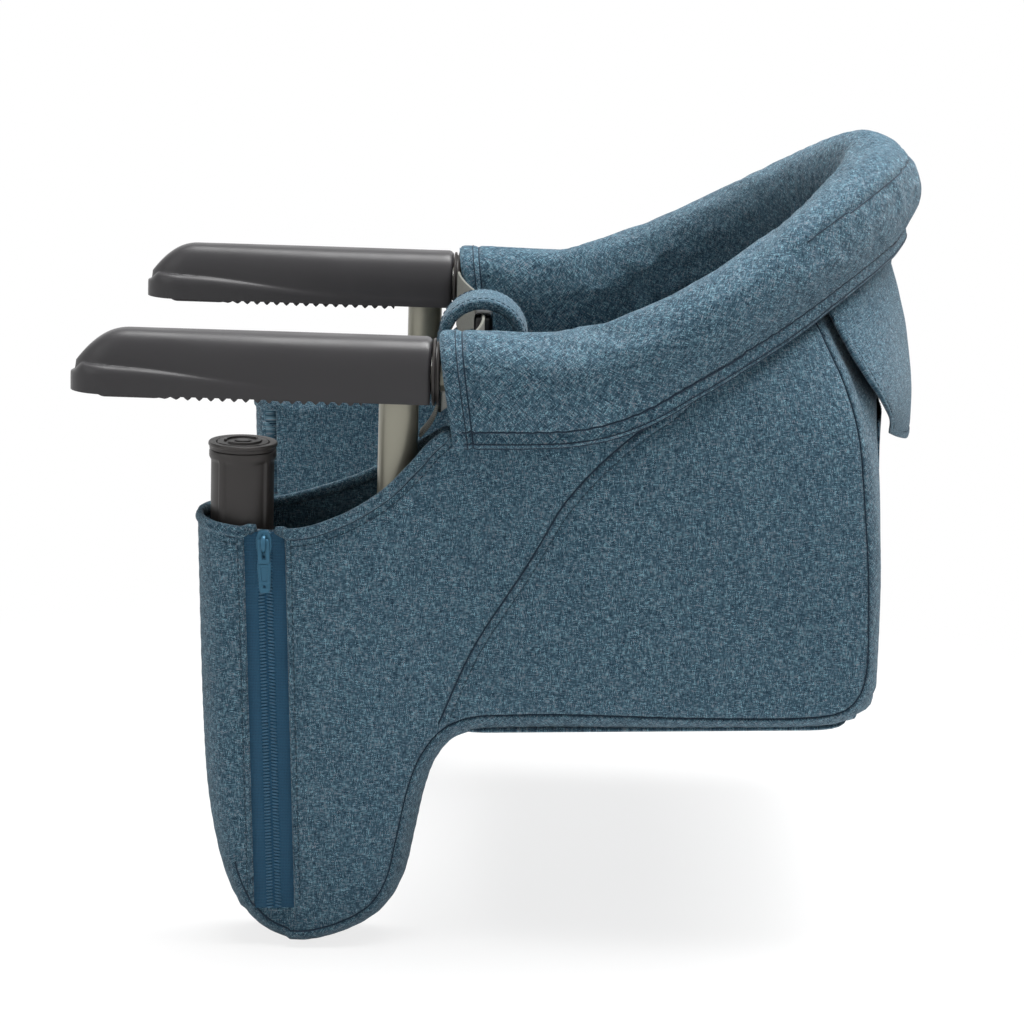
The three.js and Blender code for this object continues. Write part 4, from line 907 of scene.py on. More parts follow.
def node_tree_with(name, inputs):
    """An empty geometry tree with one geometry input, named sizes and one geometry output."""
    tree = bpy.data.node_groups.new(name, "GeometryNodeTree")
    tree.is_modifier = True
    tree.interface.new_socket(name="Geometry", in_out="INPUT", socket_type="NodeSocketGeometry")
    for label, kind, value in inputs:
        socket = tree.interface.new_socket(name=label, in_out="INPUT", socket_type=kind)
        if value is not None:
            socket.default_value = value
    tree.interface.new_socket(name="Geometry", in_out="OUTPUT", socket_type="NodeSocketGeometry")
    return tree, tree.nodes.new("NodeGroupInput").outputs, tree.nodes.new("NodeGroupOutput").inputs


def close_tree(tree, instances, material, result):
    """Ends a tree: real faces, smooth, with their material."""
    real = add_node(tree, "GeometryNodeRealizeInstances", {"Geometry": instances}).outputs[0]
    smooth = add_node(tree, "GeometryNodeSetShadeSmooth", {"Geometry": real}).outputs[0]
    painted = add_node(tree, "GeometryNodeSetMaterial",
                       {"Geometry": smooth, "Material": material}).outputs[0]
    tree.links.new(painted, result["Geometry"])


def stitch_tree():
    """Short thread stitches along the edges of a line mesh."""
    sizes = [("Pitch", NUMBER, 3.2 * MM), ("Length", NUMBER, 2.4 * MM),
             ("Thickness", NUMBER, 0.7 * MM), ("Thread", "NodeSocketMaterial", None)]
    tree, given, result = node_tree_with("stitch row", sizes)
    rows = add_node(tree, "GeometryNodeMeshToCurve", {"Mesh": given["Geometry"]}).outputs[0]
    spots = add_node(tree, "GeometryNodeCurveToPoints", {"Curve": rows, "Length": given["Pitch"]},
                     mode="LENGTH")
    facing = add_node(tree, "FunctionNodeAlignRotationToVector", {"Vector": spots.outputs["Tangent"]},
                      axis="X")
    thread = add_node(tree, "GeometryNodeMeshUVSphere",
                      {"Segments": 6, "Rings": 5, "Radius": 0.5}).outputs["Mesh"]
    size = add_node(tree, "ShaderNodeCombineXYZ", {"X": given["Length"], "Y": given["Thickness"],
                                                  "Z": given["Thickness"]}).outputs[0]
    placed = add_node(tree, "GeometryNodeInstanceOnPoints", {
        "Points": spots.outputs["Points"], "Instance": thread, "Rotation": facing.outputs[0],
        "Scale": size}).outputs[0]
    close_tree(tree, placed, given["Thread"], result)
    return tree


def teeth_tree():
    """Two rows of slanted coil teeth along one straight line mesh."""
    sizes = [("Pitch", NUMBER, 1.7 * MM), ("Width", NUMBER, 3.6 * MM),
             ("Thickness", NUMBER, 1.15 * MM), ("Slant", NUMBER, 0.2),
             ("Coil", "NodeSocketMaterial", None)]
    tree, given, result = node_tree_with("zip teeth", sizes)
    row = add_node(tree, "GeometryNodeMeshToCurve", {"Mesh": given["Geometry"]}).outputs[0]
    spots = add_node(tree, "GeometryNodeCurveToPoints", {"Curve": row, "Length": given["Pitch"]},
                     mode="LENGTH")
    tooth = add_node(tree, "GeometryNodeMeshUVSphere",
                     {"Segments": 8, "Rings": 5, "Radius": 0.5}).outputs["Mesh"]
    size = add_node(tree, "ShaderNodeCombineXYZ", {"X": given["Width"], "Y": given["Thickness"],
                                                  "Z": given["Thickness"]}).outputs[0]
    joined = add_node(tree, "GeometryNodeJoinGeometry")
    for way in (1.0, -1.0):
        slant = add_node(tree, "ShaderNodeCombineXYZ",
                         {"Y": maths(tree, "MULTIPLY", given["Slant"], way)}).outputs[0]
        half = maths(tree, "MULTIPLY", given["Width"], 0.58 * way)
        drop = maths(tree, "MULTIPLY", given["Pitch"], 0.25 * way)
        shift = add_node(tree, "ShaderNodeCombineXYZ", {"X": half, "Z": drop}).outputs[0]
        moved = add_node(tree, "GeometryNodeSetPosition",
                         {"Geometry": spots.outputs["Points"], "Offset": shift}).outputs[0]
        placed = add_node(tree, "GeometryNodeInstanceOnPoints", {
            "Points": moved, "Instance": tooth, "Rotation": slant, "Scale": size}).outputs[0]
        tree.links.new(placed, joined.inputs[0])
    close_tree(tree, joined.outputs[0], given["Coil"], result)
    return tree


def cord_tree():
    """A thin dark cord laid along line meshes: the thread in the bottom of a sewn seam, with the shade
    of its groove painted into its colour.
    """
    sizes = [("Radius", NUMBER, 0.45 * MM), ("Thread", "NodeSocketMaterial", None)]
    tree, given, result = node_tree_with("seam cord", sizes)
    rows = add_node(tree, "GeometryNodeMeshToCurve", {"Mesh": given["Geometry"]}).outputs[0]
    ring = add_node(tree, "GeometryNodeCurvePrimitiveCircle",
                    {"Resolution": 6, "Radius": given["Radius"]}).outputs["Curve"]
    cords = add_node(tree, "GeometryNodeCurveToMesh",
                     {"Curve": rows, "Profile Curve": ring, "Fill Caps": True}).outputs[0]
    close_tree(tree, cords, given["Thread"], result)
    return tree


def from_tree(name, lines, tree, values):
    """Runs a geometry tree on lines in millimetres and returns the result as a plain mesh object."""
    points, edges = [], []
    for line in lines:
        first = len(points)
        points.extend((np.asarray(line) * MM).tolist())
        edges.extend((first + i, first + i + 1) for i in range(len(line) - 1))
    rows = bpy.data.meshes.new(name + "_rows")
    rows.from_pydata(points, edges, [])
    carrier = place_object(name + "_rows", rows)
    modifier = carrier.modifiers.new("rows", "NODES")
    modifier.node_group = tree
    for item in tree.interface.items_tree:
        if item.in_out == "INPUT" and item.name in values:
            modifier[item.identifier] = values[item.name]
    bpy.context.view_layer.update()
    seen = carrier.evaluated_get(bpy.context.evaluated_depsgraph_get())
    mesh = bpy.data.meshes.new_from_object(seen)
    mesh.name = name
    carrier.modifiers.remove(modifier)
    bpy.data.objects.remove(carrier)
    bpy.data.meshes.remove(rows)
    if not mesh.polygons:
        raise RuntimeError(f"{name} came out empty")
    return place_object(name, mesh)


def seam_shade_cords(name, lines, radius=0.45):
    """Dark cords in the bottom of seams along lines in millimetres: seam thread darkened with painted
    shade of the grooves.
    """
    tree = bpy.data.node_groups.get("seam cord") or cord_tree()
    return from_tree(name, lines, tree, {"Radius": radius * MM, "Thread": finish_of("seam_shadow")})


def stitches(name, lines):
    """Rows of stitches along lines in millimetres."""
    sewn = bpy.context.scene.chair_seams
    tree = bpy.data.node_groups.get("stitch row") or stitch_tree()
    sizes = {"Pitch": sewn.pitch, "Length": sewn.length, "Thickness": sewn.thickness}
    return from_tree(name, lines, tree, {**sizes, "Thread": finish_of("seam_thread")})


# Arms, hooks and clamps


def cover_sections():
    """Cross sections of the arm's moulding: a dome on a flange that is proud near the nose."""
    low = ARM_LOW[2]
    nose, rear = ARM_LOW[0] - 0.3, ARM_HIGH[0]
    dome_start, end_round, wall_thick, recess = 2.4, 2.5, 2.2, 3.9
    front = NOSE_RISE * np.linspace(0.1, 1, 36) ** 2
    middle = np.linspace(NOSE_RISE, rear - nose - end_round, 44)[1:]
    places = np.concatenate([front, middle, rear - nose - np.array([1.2, 0.45, 0.1, 0])])
    angle = np.linspace(0, math.pi, 97)
    across, upward = np.abs(np.cos(angle)), np.sin(angle)
    sections = []
    for place in places:
        edge = max(0.0, nose + place - rear + end_round) ** 2 * 0.28
        half = COVER_HALF * math.sqrt(1 - (1 - min(1, place / NOSE_ROUND)) ** 2) - edge
        top = mix(NOSE_TIP, ARM_HIGH[2], 1 - (1 - min(1, place / NOSE_RISE)) ** 2.2) - edge
        rim = mix(11.5, 17.5, ease(place / 8)) - 7.5 * ease((place - 8) / 125)
        reach = ((across / half) ** 6 + (upward / (rim - low)) ** 6) ** (-1 / 6)
        if place > dome_start:
            ledge = 3.6 * (1 - ease((place - 16) / 105))
            rounded = math.sqrt(1 - (1 - min(1, (place - dome_start) / 21)) ** 2)
            width = (COVER_HALF - ledge) * rounded - edge
            dome = ((across / width) ** 3.2 + (upward / (top - low)) ** 3.2) ** (-1 / 3.2)
            reach = (dome + reach + np.sqrt((dome - reach) ** 2 + 0.12)) / 2 - 0.1
        arch = np.stack([reach * np.cos(angle), low + reach * upward], axis=1)
        wall = max(0.2, half - wall_thick)
        under = [(-wall, low), (-wall, low + recess), (wall, low + recess), (wall, low)]
        section = np.vstack([arch, under])
        sections.append(np.column_stack([np.full(len(section), nose + place), ARM_Y + section[:, 0],
                                         section[:, 1]]))
    return np.array(sections)


def make_arm(side, mirror):
    """Moulded cover of the arm."""
    cover = skin(f"{side}_arm_moulding", cover_sections(), finish_of("arm_moulding"), mirror, 38)
    fit(cover, f"{side}_arm", "arm_plastic", f"{side}_arm_cover")


def make_grip(side, mirror):
    """Rubber strip under the arm: a smooth lip in front, then teeth that grow deeper."""
    low, high = node_box("right_grip_pad")
    teeth = (high[0] - low[0] - GRIP_LIP) / GRIP_PITCH
    x = np.linspace(low[0], high[0], 480)
    phase = (x - low[0] - GRIP_LIP) / GRIP_PITCH
    tooth = np.abs(2 * (phase - np.floor(phase)) - 1) ** 1.3
    growth = np.clip(phase / (teeth * 0.25), 0, 1)
    floor = low[2] + GRIP_DEPTH * mix(GRIP_SMOOTH, tooth, ease(growth))
    floor = floor + 2.2 * np.clip(1 - (x - low[0]) / 5, 0, 1) ** 2
    rounding = 0.7
    rings = []
    for station, bottom in zip(x, floor):
        near = [(0, high[2]), (0, bottom + rounding), (rounding * 0.3, bottom + rounding * 0.3),
                (rounding, bottom)]
        left = [(station, low[1] + inset, z) for inset, z in near]
        right = [(station, high[1] - inset, z) for inset, z in reversed(near)]
        rings.append(left + right)
    grip = skin(f"{side}_grip_strip", np.array(rings), finish_of("pad_rubber"), mirror, 45)
    fit(grip, f"{side}_arm", "rubber", f"{side}_grip_pad")


def make_hook(side, mirror):
    """J-shaped tube under the arm."""
    bend = (HOOK_HIGH[0] - HOOK_LOW[0]) / 2 - TUBE_R
    middle = (HOOK_HIGH[0] + HOOK_LOW[0]) / 2
    bend_z = HOOK_LOW[2] + TUBE_R + bend
    turn = np.linspace(0, math.pi, 40)
    arc = np.column_stack([middle + bend * np.cos(turn), bend_z - bend * np.sin(turn)])
    path = np.vstack([[(middle + bend, 7.0)], arc, [(middle - bend, -104.0)]])
    facing = np.gradient(path, axis=0)
    facing[0], facing[-1] = (0, -1), (0, 1)
    angle = full_turn(48)
    across, out = TUBE_R * np.cos(angle), TUBE_R * np.sin(angle)
    rings = []
    for (x, z), (dx, dz) in zip(path, unit(facing)):
        rings.append(np.column_stack([x - dz * across, ARM_Y + out, z + dx * across]))
    hook = skin(f"{side}_hook", np.array(rings), finish_of("tube_paint"), mirror, 40)
    fit(hook, f"{side}_arm", "tube_silver", f"{side}_hook_tube")


def make_belt_ring(side, mirror):
    """Loose ring behind the arm, with a groove between its two rims."""
    low, high = node_box("right_belt_ring")
    outer, hole = (high[1] - low[1]) / 2, TUBE_R + 0.3
    near, far = low[0], low[0] + 4.2
    rim = ((0, outer - 1.2), (0.3, outer - 0.3), (0.9, outer), (1.5, outer - 0.3), (1.8, outer - 1.9))
    profile = [(near, hole)] + [(near + step, radius) for step, radius in rim]
    profile += [(far - step, radius) for step, radius in reversed(rim)] + [(far, hole), (near, hole)]
    ring = turned(f"{side}_strap_ring", profile, (0, ARM_Y, AXIS_Z), "x", finish_of("clamp_moulding"),
                  mirror)
    fit(ring, "seat", "dark_plastic", f"{side}_belt_ring")


def make_clamp(side, mirror):
    """Grip with four long panels, its collar, and the face that presses on the table."""
    at = np.array([CLAMP_X, ARM_Y, 0])
    sleeve_low, sleeve_high = node_box("right_clamp_sleeve")
    low, high = sleeve_low[2], sleeve_high[2]
    radius, hole = 16.9, 13.2
    angle = full_turn(192)
    ridge = np.abs((np.degrees(angle) - 34 + 45) % 90 - 45)
    panel = ease((ridge - 4.5) / 4.0)
    steps = np.concatenate([[0, 0.25, 0.9, 3.0], np.linspace(3.6, 6.4, 7)])
    heights = np.concatenate([low + steps, np.linspace(low + 6.4, high - 6.4, 8)[1:-1],
                              (high - steps)[::-1]])
    rings = []
    for z in heights:
        edge = min(z - low, high - z)
        size = radius - 1.0 * panel * ease((edge - 3.4) / 2.6) - 0.7 * max(0, 1 - edge / 0.9) ** 2
        size = size - 1.4 * max(0, 1 - (z - low) / 25)
        rings.append(ring_at(z, size, angle))
    inner = [ring_at(z, hole, angle) for z in (high, low)]
    sewing = Sewing()
    sewing.grid(np.array(rings + inner + rings[:1]) + at, loop_columns=True)
    grip = sewing.piece(f"{side}_clamp_grip_sleeve", finish_of("clamp_moulding"), mirror, crease=40)
    cap_low, cap_high = node_box("right_clamp_cap")
    top, rim_low, plug = cap_high[2], cap_high[2] - 3.5, cap_low[2]
    cap_profile = [(plug, 2.2), (plug, 12.9), (rim_low, 12.9), (rim_low, 16.8), (rim_low + 1.4, 16.9),
                   (rim_low + 1.6, 17.2),
                   (rim_low + 2.0, 17.4), (top - 0.8, 17.4), (top - 0.3, 17.2), (top, 16.9),
                   (top, 14.1), (top - 0.3, 13.5),
                   (top - 1.5, 13.4), (top - 1.5, 2.2), (plug, 2.2)]
    cap = turned(f"{side}_clamp_collar", cap_profile, at, "z", finish_of("clamp_moulding"), mirror, 96)
    for piece, node in ((grip, "clamp_sleeve"), (cap, "clamp_cap")):
        fit(piece, f"{side}_clamp_grip", "dark_plastic", f"{side}_{node}")
    make_clamp_face(side, mirror, at)


def make_clamp_face(side, mirror, at):
    """Round face of the clamp with a broken raised ring and a small slot in the middle."""
    pad_low, pad_high = node_box("right_clamp_pad")
    face, back = pad_high[2], pad_low[2]
    angle = full_turn(96)
    broken = ease((np.abs((np.degrees(angle) - 62) % 180 - 90) - 12) / 4)
    shape = ((1.4, 13.0, 0), (1.0, 12.7, 0), (0.9, 12.0, 0), (0.9, 9.7, 0), (0.9, 9.5, 1), (0.9, 8.1, 1),
             (0.9, 7.9, 0), (0.9, 4.6, 0), (1.0, 4.35, 0), (1.35, 4.3, 0), (1.35, 2.1, 0))
    profile = [(back, 2.1, 0), (back, 13.0, 0)] + [(face - drop, r, raised) for drop, r, raised in shape]
    profile.append((back, 2.1, 0))
    rings = [ring_at(z + 0.9 * raised * broken, r, angle) for z, r, raised in profile]
    sewing = Sewing()
    sewing.grid(np.array(rings) + at, loop_columns=True)
    pad = sewing.piece(f"{side}_clamp_face", finish_of("clamp_moulding"), mirror, crease=35)
    slot_low = (CLAMP_X - 2.6, ARM_Y - 0.8, face - 1.3)
    slot_high = (CLAMP_X + 2.6, ARM_Y + 0.8, face - 0.2)
    slot = rounded_block(f"{side}_clamp_slot", slot_low, slot_high, 0.2, finish_of("buckle_moulding"),
                         mirror, 2)
    fit(pad, f"{side}_clamp_foot", "rubber", f"{side}_clamp_pad")
    fit(slot, f"{side}_clamp_foot", "rubber")


# Side cloth


def hem_line(x):
    """Height of the roll's hem over the side cloth's own x."""
    share = np.maximum(0, np.asarray(x, float) - PANEL_FRONT) / SHELL_RUN
    return hem_point(share)[0][..., 2]


def side_lines():
    """Edge and seam of the side cloth; width, depth, sweep and front share of the strip round it."""
    top = (SIDE_EDGE[-1][0], float(hem_line(SIDE_EDGE[-1][0])) + 6)
    edge = resample(np.vstack([smooth_line(SIDE_EDGE, 2.4), [top]]), 2.4)
    x, z = edge[:, 0], edge[:, 1]
    front = ease((z - GUSSET_START + 6) / 22) * (x < -30)
    width = mix(mix(8.8, 14.0, front), mix(10.0, 7.4, ease((x - 80) / 110)), ease((x - 30) / 30))
    full = 1 - ease((x - 14) / 34) * (z > -215)
    height = np.clip((z - SEAT_FRONT_Z) / (hem_line(x) - SEAT_FRONT_Z), 0, 1)
    depth = mix(11.0, 18.2, full)
    depth = np.where(x > 240, mix(depth, 2.0, height ** 4), depth)
    return edge, offset_line(edge, width), width, depth, mix(math.pi / 2, math.pi, full), front


def front_run():
    """Run along the side's seam line where its front wrap ends and the gusset starts."""
    edge, seam, *_ = side_lines()
    last = int(np.argmax(edge[:, 1] < GUSSET_START))
    return float(np.linalg.norm(np.diff(seam[:last + 1], axis=0), axis=1).sum()), last


def panel_mesh(outline, marks, spacing):
    """Triangles over a flat outline that follow marked lines. Returns points and faces."""
    points = [outline]
    edges = [(i, (i + 1) % len(outline)) for i in range(len(outline))]
    closed = np.vstack([outline, outline[:1]])
    for mark in marks:
        mark = mark[inside(mark, outline)]
        points.append(mark[beside(mark, closed)[0] > 0.35])
    low, high = outline.min(axis=0), outline.max(axis=0)
    columns = np.arange(low[0], high[0], spacing)
    rows = np.arange(low[1], high[1], spacing * 0.866)
    grid = np.vstack([np.column_stack([columns + (k % 2) * spacing / 2, np.full(len(columns), row)])
                      for k, row in enumerate(rows)])
    grid = grid[inside(grid, outline)]
    for line in [closed] + marks:
        if len(line) > 1:
            grid = grid[beside(grid, line)[0] > spacing * 0.55]
    points.append(grid)
    flat = [Vector(p) for p in np.vstack(points)]
    found = geometry.delaunay_2d_cdt(flat, edges, [], 1, 1e-4)
    return np.array([tuple(v) for v in found[0]]), found[2]


def cloth_seed(mirror):
    """Seed of the soft waves in one side's cloth."""
    return 1 if mirror else 2


def zip_line():
    """Middle of the zip on the flat side cloth, a little longer than the zip."""
    direction = np.array([math.sin(ZIP_LEAN), -math.cos(ZIP_LEAN)])
    start = np.array(ZIP_TOP) + direction * -8
    return resample(np.array([start, np.array(ZIP_TOP) + direction * (ZIP_RUN + 4)]), 2.5)


def outer_relief(flat, seam, side_seed):
    """How far each point of the outer side cloth stands out of its plain surface."""
    x, z = flat[:, 0], flat[:, 1]
    from_edge, along_edge, _ = beside(flat, seam)
    sewn = ease((along_edge - front_run()[0] + 4) / 12)
    lift = 3.0 * (1 - np.exp(-from_edge / 13)) - sewn * soft_ridge(from_edge, 1.2, 1.1)
    fold = smooth_line(FOLD_SEAM, 2.0)
    gap, run, way = beside(flat, fold)
    lift -= soft_ridge(gap, 1.1, 0.8)
    second, _, _ = beside(flat, offset_line(fold, SEAM_GAP))
    lift -= soft_ridge(second, 0.55, 0.7)
    lift += soft_ridge(gap - SEAM_GAP / 2, 0.45, 1.2) * (way > 0)
    pucker = np.sin(run / 7.5 * 2 * math.pi + 2.5 * np.sin(run / 23))
    lift += 0.25 * pucker * np.exp(-gap / 7)
    edge_pucker = np.sin(along_edge / 9.0 * 2 * math.pi + 3.0 * np.sin(along_edge / 31))
    lift += 0.22 * edge_pucker * np.exp(-from_edge / 8) * sewn
    lift += flat_waves(x, z, 62, side_seed) + 0.35 * flat_waves(x, z, 21, side_seed + 3)
    mouth_gap, mouth_run, _ = beside(flat, smooth_line(MOUTH_EDGE, 2.5))
    lift += 0.6 * np.sin(mouth_run / 26 * 2 * math.pi) * np.exp(-mouth_gap / 18) * (x < 20)
    for drop in (HEM_ROLL, HEM_ROLL + HEM_ROWS):
        lift -= soft_ridge(mouth_gap - drop, 0.5, 0.8) * (x < 34)
    zip_gap, _, _ = beside(flat, zip_line())
    near_zip = 1 - ease((zip_gap - ZIP_HALF) / 1.4)
    plain = side_surface(x, z)[0][:, 1] + 1.5 + sleeve_swell(x)
    beside_zip = soft_ridge(np.maximum(0, zip_gap - ZIP_HALF - 4), 1.0, 16)
    lift = mix(lift, 173.9 - plain, beside_zip * (z < -58) * 0.85)
    lift += soft_ridge(zip_gap - ZIP_HALF - 1.9, 0.4, 1.2)
    lift -= soft_ridge(zip_gap - ZIP_HALF - ZIP_ROW, 0.5, 0.8)
    lift -= soft_ridge(z - ZIP_CROSS, 0.6, 0.8) * np.exp(-(zip_gap / 22) ** 4) * (zip_gap > ZIP_HALF)
    return mix(lift, ZIP_FACE - 0.5 - plain, near_zip)


def side_strip(mirror):
    """Rows of the strip round the side's edge, from the outer seam to its end, and its cloth lengths."""
    edge, seam, width, depth, sweep, front = side_lines()
    start = outer_point(seam, outer_relief(seam, seam, cloth_seed(mirror)))
    inner_start = inner_point(seam, np.zeros(len(seam)))
    facing = outer_point(edge, np.zeros(len(edge))) - outer_point(seam, np.zeros(len(seam)))
    forward = unit(facing)
    _, away = side_surface(seam[:, 0], seam[:, 1])
    run = run_along(edge)
    rows, lengths = [], []
    for share in np.concatenate([[0, 0.012, 0.03, 0.055, 0.09], np.linspace(0.14, 1, 14)]):
        angle = sweep * share
        drop = depth * (1 - np.cos(angle))
        bead = 1.7 * (1 - math.exp(-share / 0.022)) * (1 - share) ** 3 * (1 - front)
        crinkle = 0.1 * np.sin(run / 8.3 * 2 * math.pi + 4 * np.sin(run / 19))
        crinkle = crinkle * math.sin(math.pi * share)
        reach = np.abs(np.sin(angle))
        reach = np.where(angle > math.pi / 2, mix(reach, np.sqrt(reach), front), reach)
        row = start + facing * reach[:, None] + away * (bead - drop)[:, None]
        tucked = ease((share - 0.75) / 0.25) * (sweep > math.pi * 0.93)
        row = mix(row, inner_start + facing * reach[:, None], tucked[:, None])
        rows.append(row + forward * crinkle[:, None])
        lengths.append(width * np.sin(np.minimum(angle, math.pi / 2)) + drop * 0.9)
    return np.array(rows), np.array(lengths), run


def outer_point(flat, lift):
    """Place in space of the outer cloth's flat points."""
    point, away = side_surface(flat[:, 0], flat[:, 1])
    stand = 1.5 + sleeve_swell(flat[:, 0]) + lift
    return point + away * stand[:, None]


def inner_point(flat, lift):
    """Place in space of the inner cloth: the hook's inner wall, then the lining of the seat's side."""
    point, away = side_surface(flat[:, 0], flat[:, 1])
    inset = mix(-26.4, -1.8, ease((flat[:, 0] - 8) / 40))
    return point + away * (inset - lift)[:, None]


def make_side(side, mirror):
    """The cloth side: outer face with its seams, strip round its edge, inner wall and lining."""
    seam = side_lines()[1]
    seed = cloth_seed(mirror)
    mouth = smooth_line(MOUTH_EDGE, 2.5)
    mouth = mouth[mouth[:, 0] > seam[0, 0] + 1]
    inner_mouth = smooth_line(INNER_MOUTH, 2.5)
    inner_mouth = inner_mouth[inner_mouth[:, 0] > seam[0, 0] + 1]
    hem_x = np.arange(39, seam[-1, 0] - 1.5, 3.0)
    hem = np.column_stack([hem_x, hem_line(hem_x) + 6])
    fold = smooth_line(FOLD_SEAM, 2.0)
    sewing = Sewing()
    fold_marks = (-2.2, -1.0, -0.45, 0, 0.45, 1.0, 2.0, 3.0, 3.6, SEAM_GAP, 4.8, 6.0)
    marks = [offset_line(fold, distance) for distance in fold_marks]
    marks += [offset_line(seam, distance) for distance in (0.5, 1.1, 2.2)]
    for reach in (0.05, 0.7, 1.4, 2.4, ZIP_ROW, 4.8):
        marks += [offset_line(zip_line(), way * (ZIP_HALF + reach)) for way in (1, -1)]
    marks += [offset_line(mouth, -drop) for drop in (1.5, 3.4, HEM_ROLL, 5.4, HEM_ROLL + HEM_ROWS, 9.4)]
    flat, faces = panel_mesh(np.vstack([seam, hem[::-1], mouth[::-1]]), marks, 3.4)
    outer = outer_point(flat, outer_relief(flat, seam, seed))
    sewing.triangles(outer, [tuple(reversed(f)) for f in faces], flat)
    inner_hem = hem[hem[:, 0] > 40] - np.array([0, 2.0])
    inner_outline = np.vstack([seam, inner_hem[::-1], inner_mouth[::-1]])
    inner_flat, inner_faces = panel_mesh(inner_outline, [offset_line(seam, 2.0)], 5.0)
    from_edge, _, _ = beside(inner_flat, seam)
    spots = np.column_stack([inner_flat, np.full(len(inner_flat), 90.0)])
    inner_lift = 2.2 * (1 - np.exp(-from_edge / 14)) + 0.9 * waves(spots, 45, seed + 7)
    sewing.triangles(inner_point(inner_flat, inner_lift), inner_faces, inner_flat)
    rows, lengths, run = side_strip(mirror)
    split = front_run()[1]
    wrap_cloth = np.array([np.column_stack([seam[:, 0] - arc, seam[:, 1]]) for arc in lengths])
    strip_cloth = np.array([np.column_stack([run, arc]) for arc in lengths])
    sewing.grid(rows[:, :split + 1], wrap_cloth[:, :split + 1])
    sewing.grid(rows[:, split:], strip_cloth[:, split:], slot=1)
    obj = sewing.piece(f"{side}_side_cloth", [finish_of("cloth_straight"), finish_of("cloth_gusset")],
                       mirror)
    point_out(obj, mirror)
    thicken(obj, 1.3)
    bend_with_arm(obj)
    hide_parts(f"{side}_leg_sleeve", f"{side}_side_panel")


def point_out(obj, mirror):
    """Turns the faces of a side cloth so that the outer face looks away from the seat."""
    mesh = obj.data
    outward = sum(p.normal.y * p.area for p in mesh.polygons if abs(p.center.y) > 0.158)
    if (outward > 0) == mirror:
        mesh.flip_normals()


def make_mouth_hem(side, mirror):
    """Rolled hem along the mouth of the hook's pocket, open over the zip."""
    seam = side_lines()[1]
    seed = cloth_seed(mirror)
    outer = smooth_line(MOUTH_EDGE, 1.6)
    outer = outer[outer[:, 0] > seam[0, 0]]
    inner = smooth_line(INNER_MOUTH, 1.6)
    inner = inner[inner[:, 0] > seam[0, 0]]
    notch = ZIP_TOP[0] + 0.5
    outside = outer_point(outer, outer_relief(outer, seam, seed))
    inside_path = inner_point(inner, np.zeros(len(inner)))
    turn = np.linspace(0, math.pi, 24)[1:-1]
    first, last = outside[0], inside_path[0]
    nose = np.column_stack([first[0] - 14 * np.sin(turn), mix(first[1], last[1], (1 - np.cos(turn)) / 2),
                            mix(first[2], last[2], turn / math.pi) + 1.2 * np.sin(turn)])
    curl = soft_ridge(outer[:, 0] - notch + 4.5, 2.2, 4.0) + soft_ridge(outer[:, 0] - notch - 4.5, 1.4,
                                                                        4.0)
    outside = outside + np.column_stack([0 * curl, 0.3 * curl, curl])
    front_path = np.vstack([outside[outer[:, 0] < notch - 3.6][::-1], nose, inside_path])
    sewing = Sewing()
    for path in (outside[outer[:, 0] > notch + 3.6], front_path):
        path = resample(path, 1.8)
        along = tangents(path)
        up = unit(np.array([0, 0, 1.0]) - along * along[:, 2:3])
        out = np.cross(up, along)
        angle = full_turn(18)
        across, upward = np.sign(np.cos(angle)) * np.abs(np.cos(angle)) ** 0.7, np.sin(angle)
        ends = np.minimum(np.arange(len(path)), np.arange(len(path))[::-1])
        rings = []
        for k in range(len(path)):
            size = mix(0.6, 1.0, ease(ends[k] / 2.0))
            ripple = 1 + 0.1 * math.sin(k * 1.8 / 8.0 * 2 * math.pi) + 0.06 * math.sin(k * 0.9)
            rings.append(path[k] + out[k] * (across * 1.9 * size * ripple)[:, None]
                         + up[k] * (upward * 2.9 * size - 1.2)[:, None])
        sewing.tube(np.array(rings))
    hem = sewing.piece(f"{side}_mouth_hem", finish_of("cloth_gusset"), mirror)
    bend_with_arm(hem)


# Zip


def zip_frame():
    """Origin of the zip's top, and its directions: across, outwards and down."""
    down = np.array([math.sin(ZIP_LEAN), 0, -math.cos(ZIP_LEAN)])
    across = np.array([math.cos(ZIP_LEAN), 0, math.sin(ZIP_LEAN)])
    return np.array([ZIP_TOP[0], ZIP_FACE, ZIP_TOP[1]]), across, np.array([0, 1.0, 0]), down


def zip_place(local):
    """Points given as across, outwards and down from the zip's top."""
    origin, across, out, down = zip_frame()
    local = np.asarray(local, float)
    return origin + local[..., :1] * across + local[..., 1:2] * out + local[..., 2:3] * down


def make_zip(side, mirror):
    """Zip on the outer face of the hook's pocket: tape, coil and slider."""
    half = ZIP_HALF + 0.9
    profile = np.array([(-half, 0), (-half, 0.5), (0.6 - half, 0.8), (-4.6, 0.8), (-4.2, 1.0),
                        (4.2, 1.0), (4.6, 0.8),
                        (half - 0.6, 0.8), (half, 0.5), (half, 0)])
    stations = np.linspace(0, ZIP_RUN, 60)
    rings = np.array([zip_place(np.column_stack([profile, np.full(len(profile), s)])) for s in stations])
    lengths = np.append(run_along(profile), 44)
    cloth = lattice(stations, lengths)
    tape = skin(f"{side}_zip_tape", rings, finish_of("zip_tape_weave"), mirror, 50, cloth)
    fit(tape, f"{side}_arm", "zip_tape", f"{side}_zip_chain")
    line = handed(zip_place([(0, 1.35, 0.5), (0, 1.35, ZIP_RUN - 1)]), mirror)
    tree = bpy.data.node_groups.get("zip teeth") or teeth_tree()
    teeth = from_tree(f"{side}_zip_coil", [line], tree, {"Coil": finish_of("zip_coil")})
    fit(teeth, f"{side}_arm", "zip_tape")
    make_slider(side, mirror)


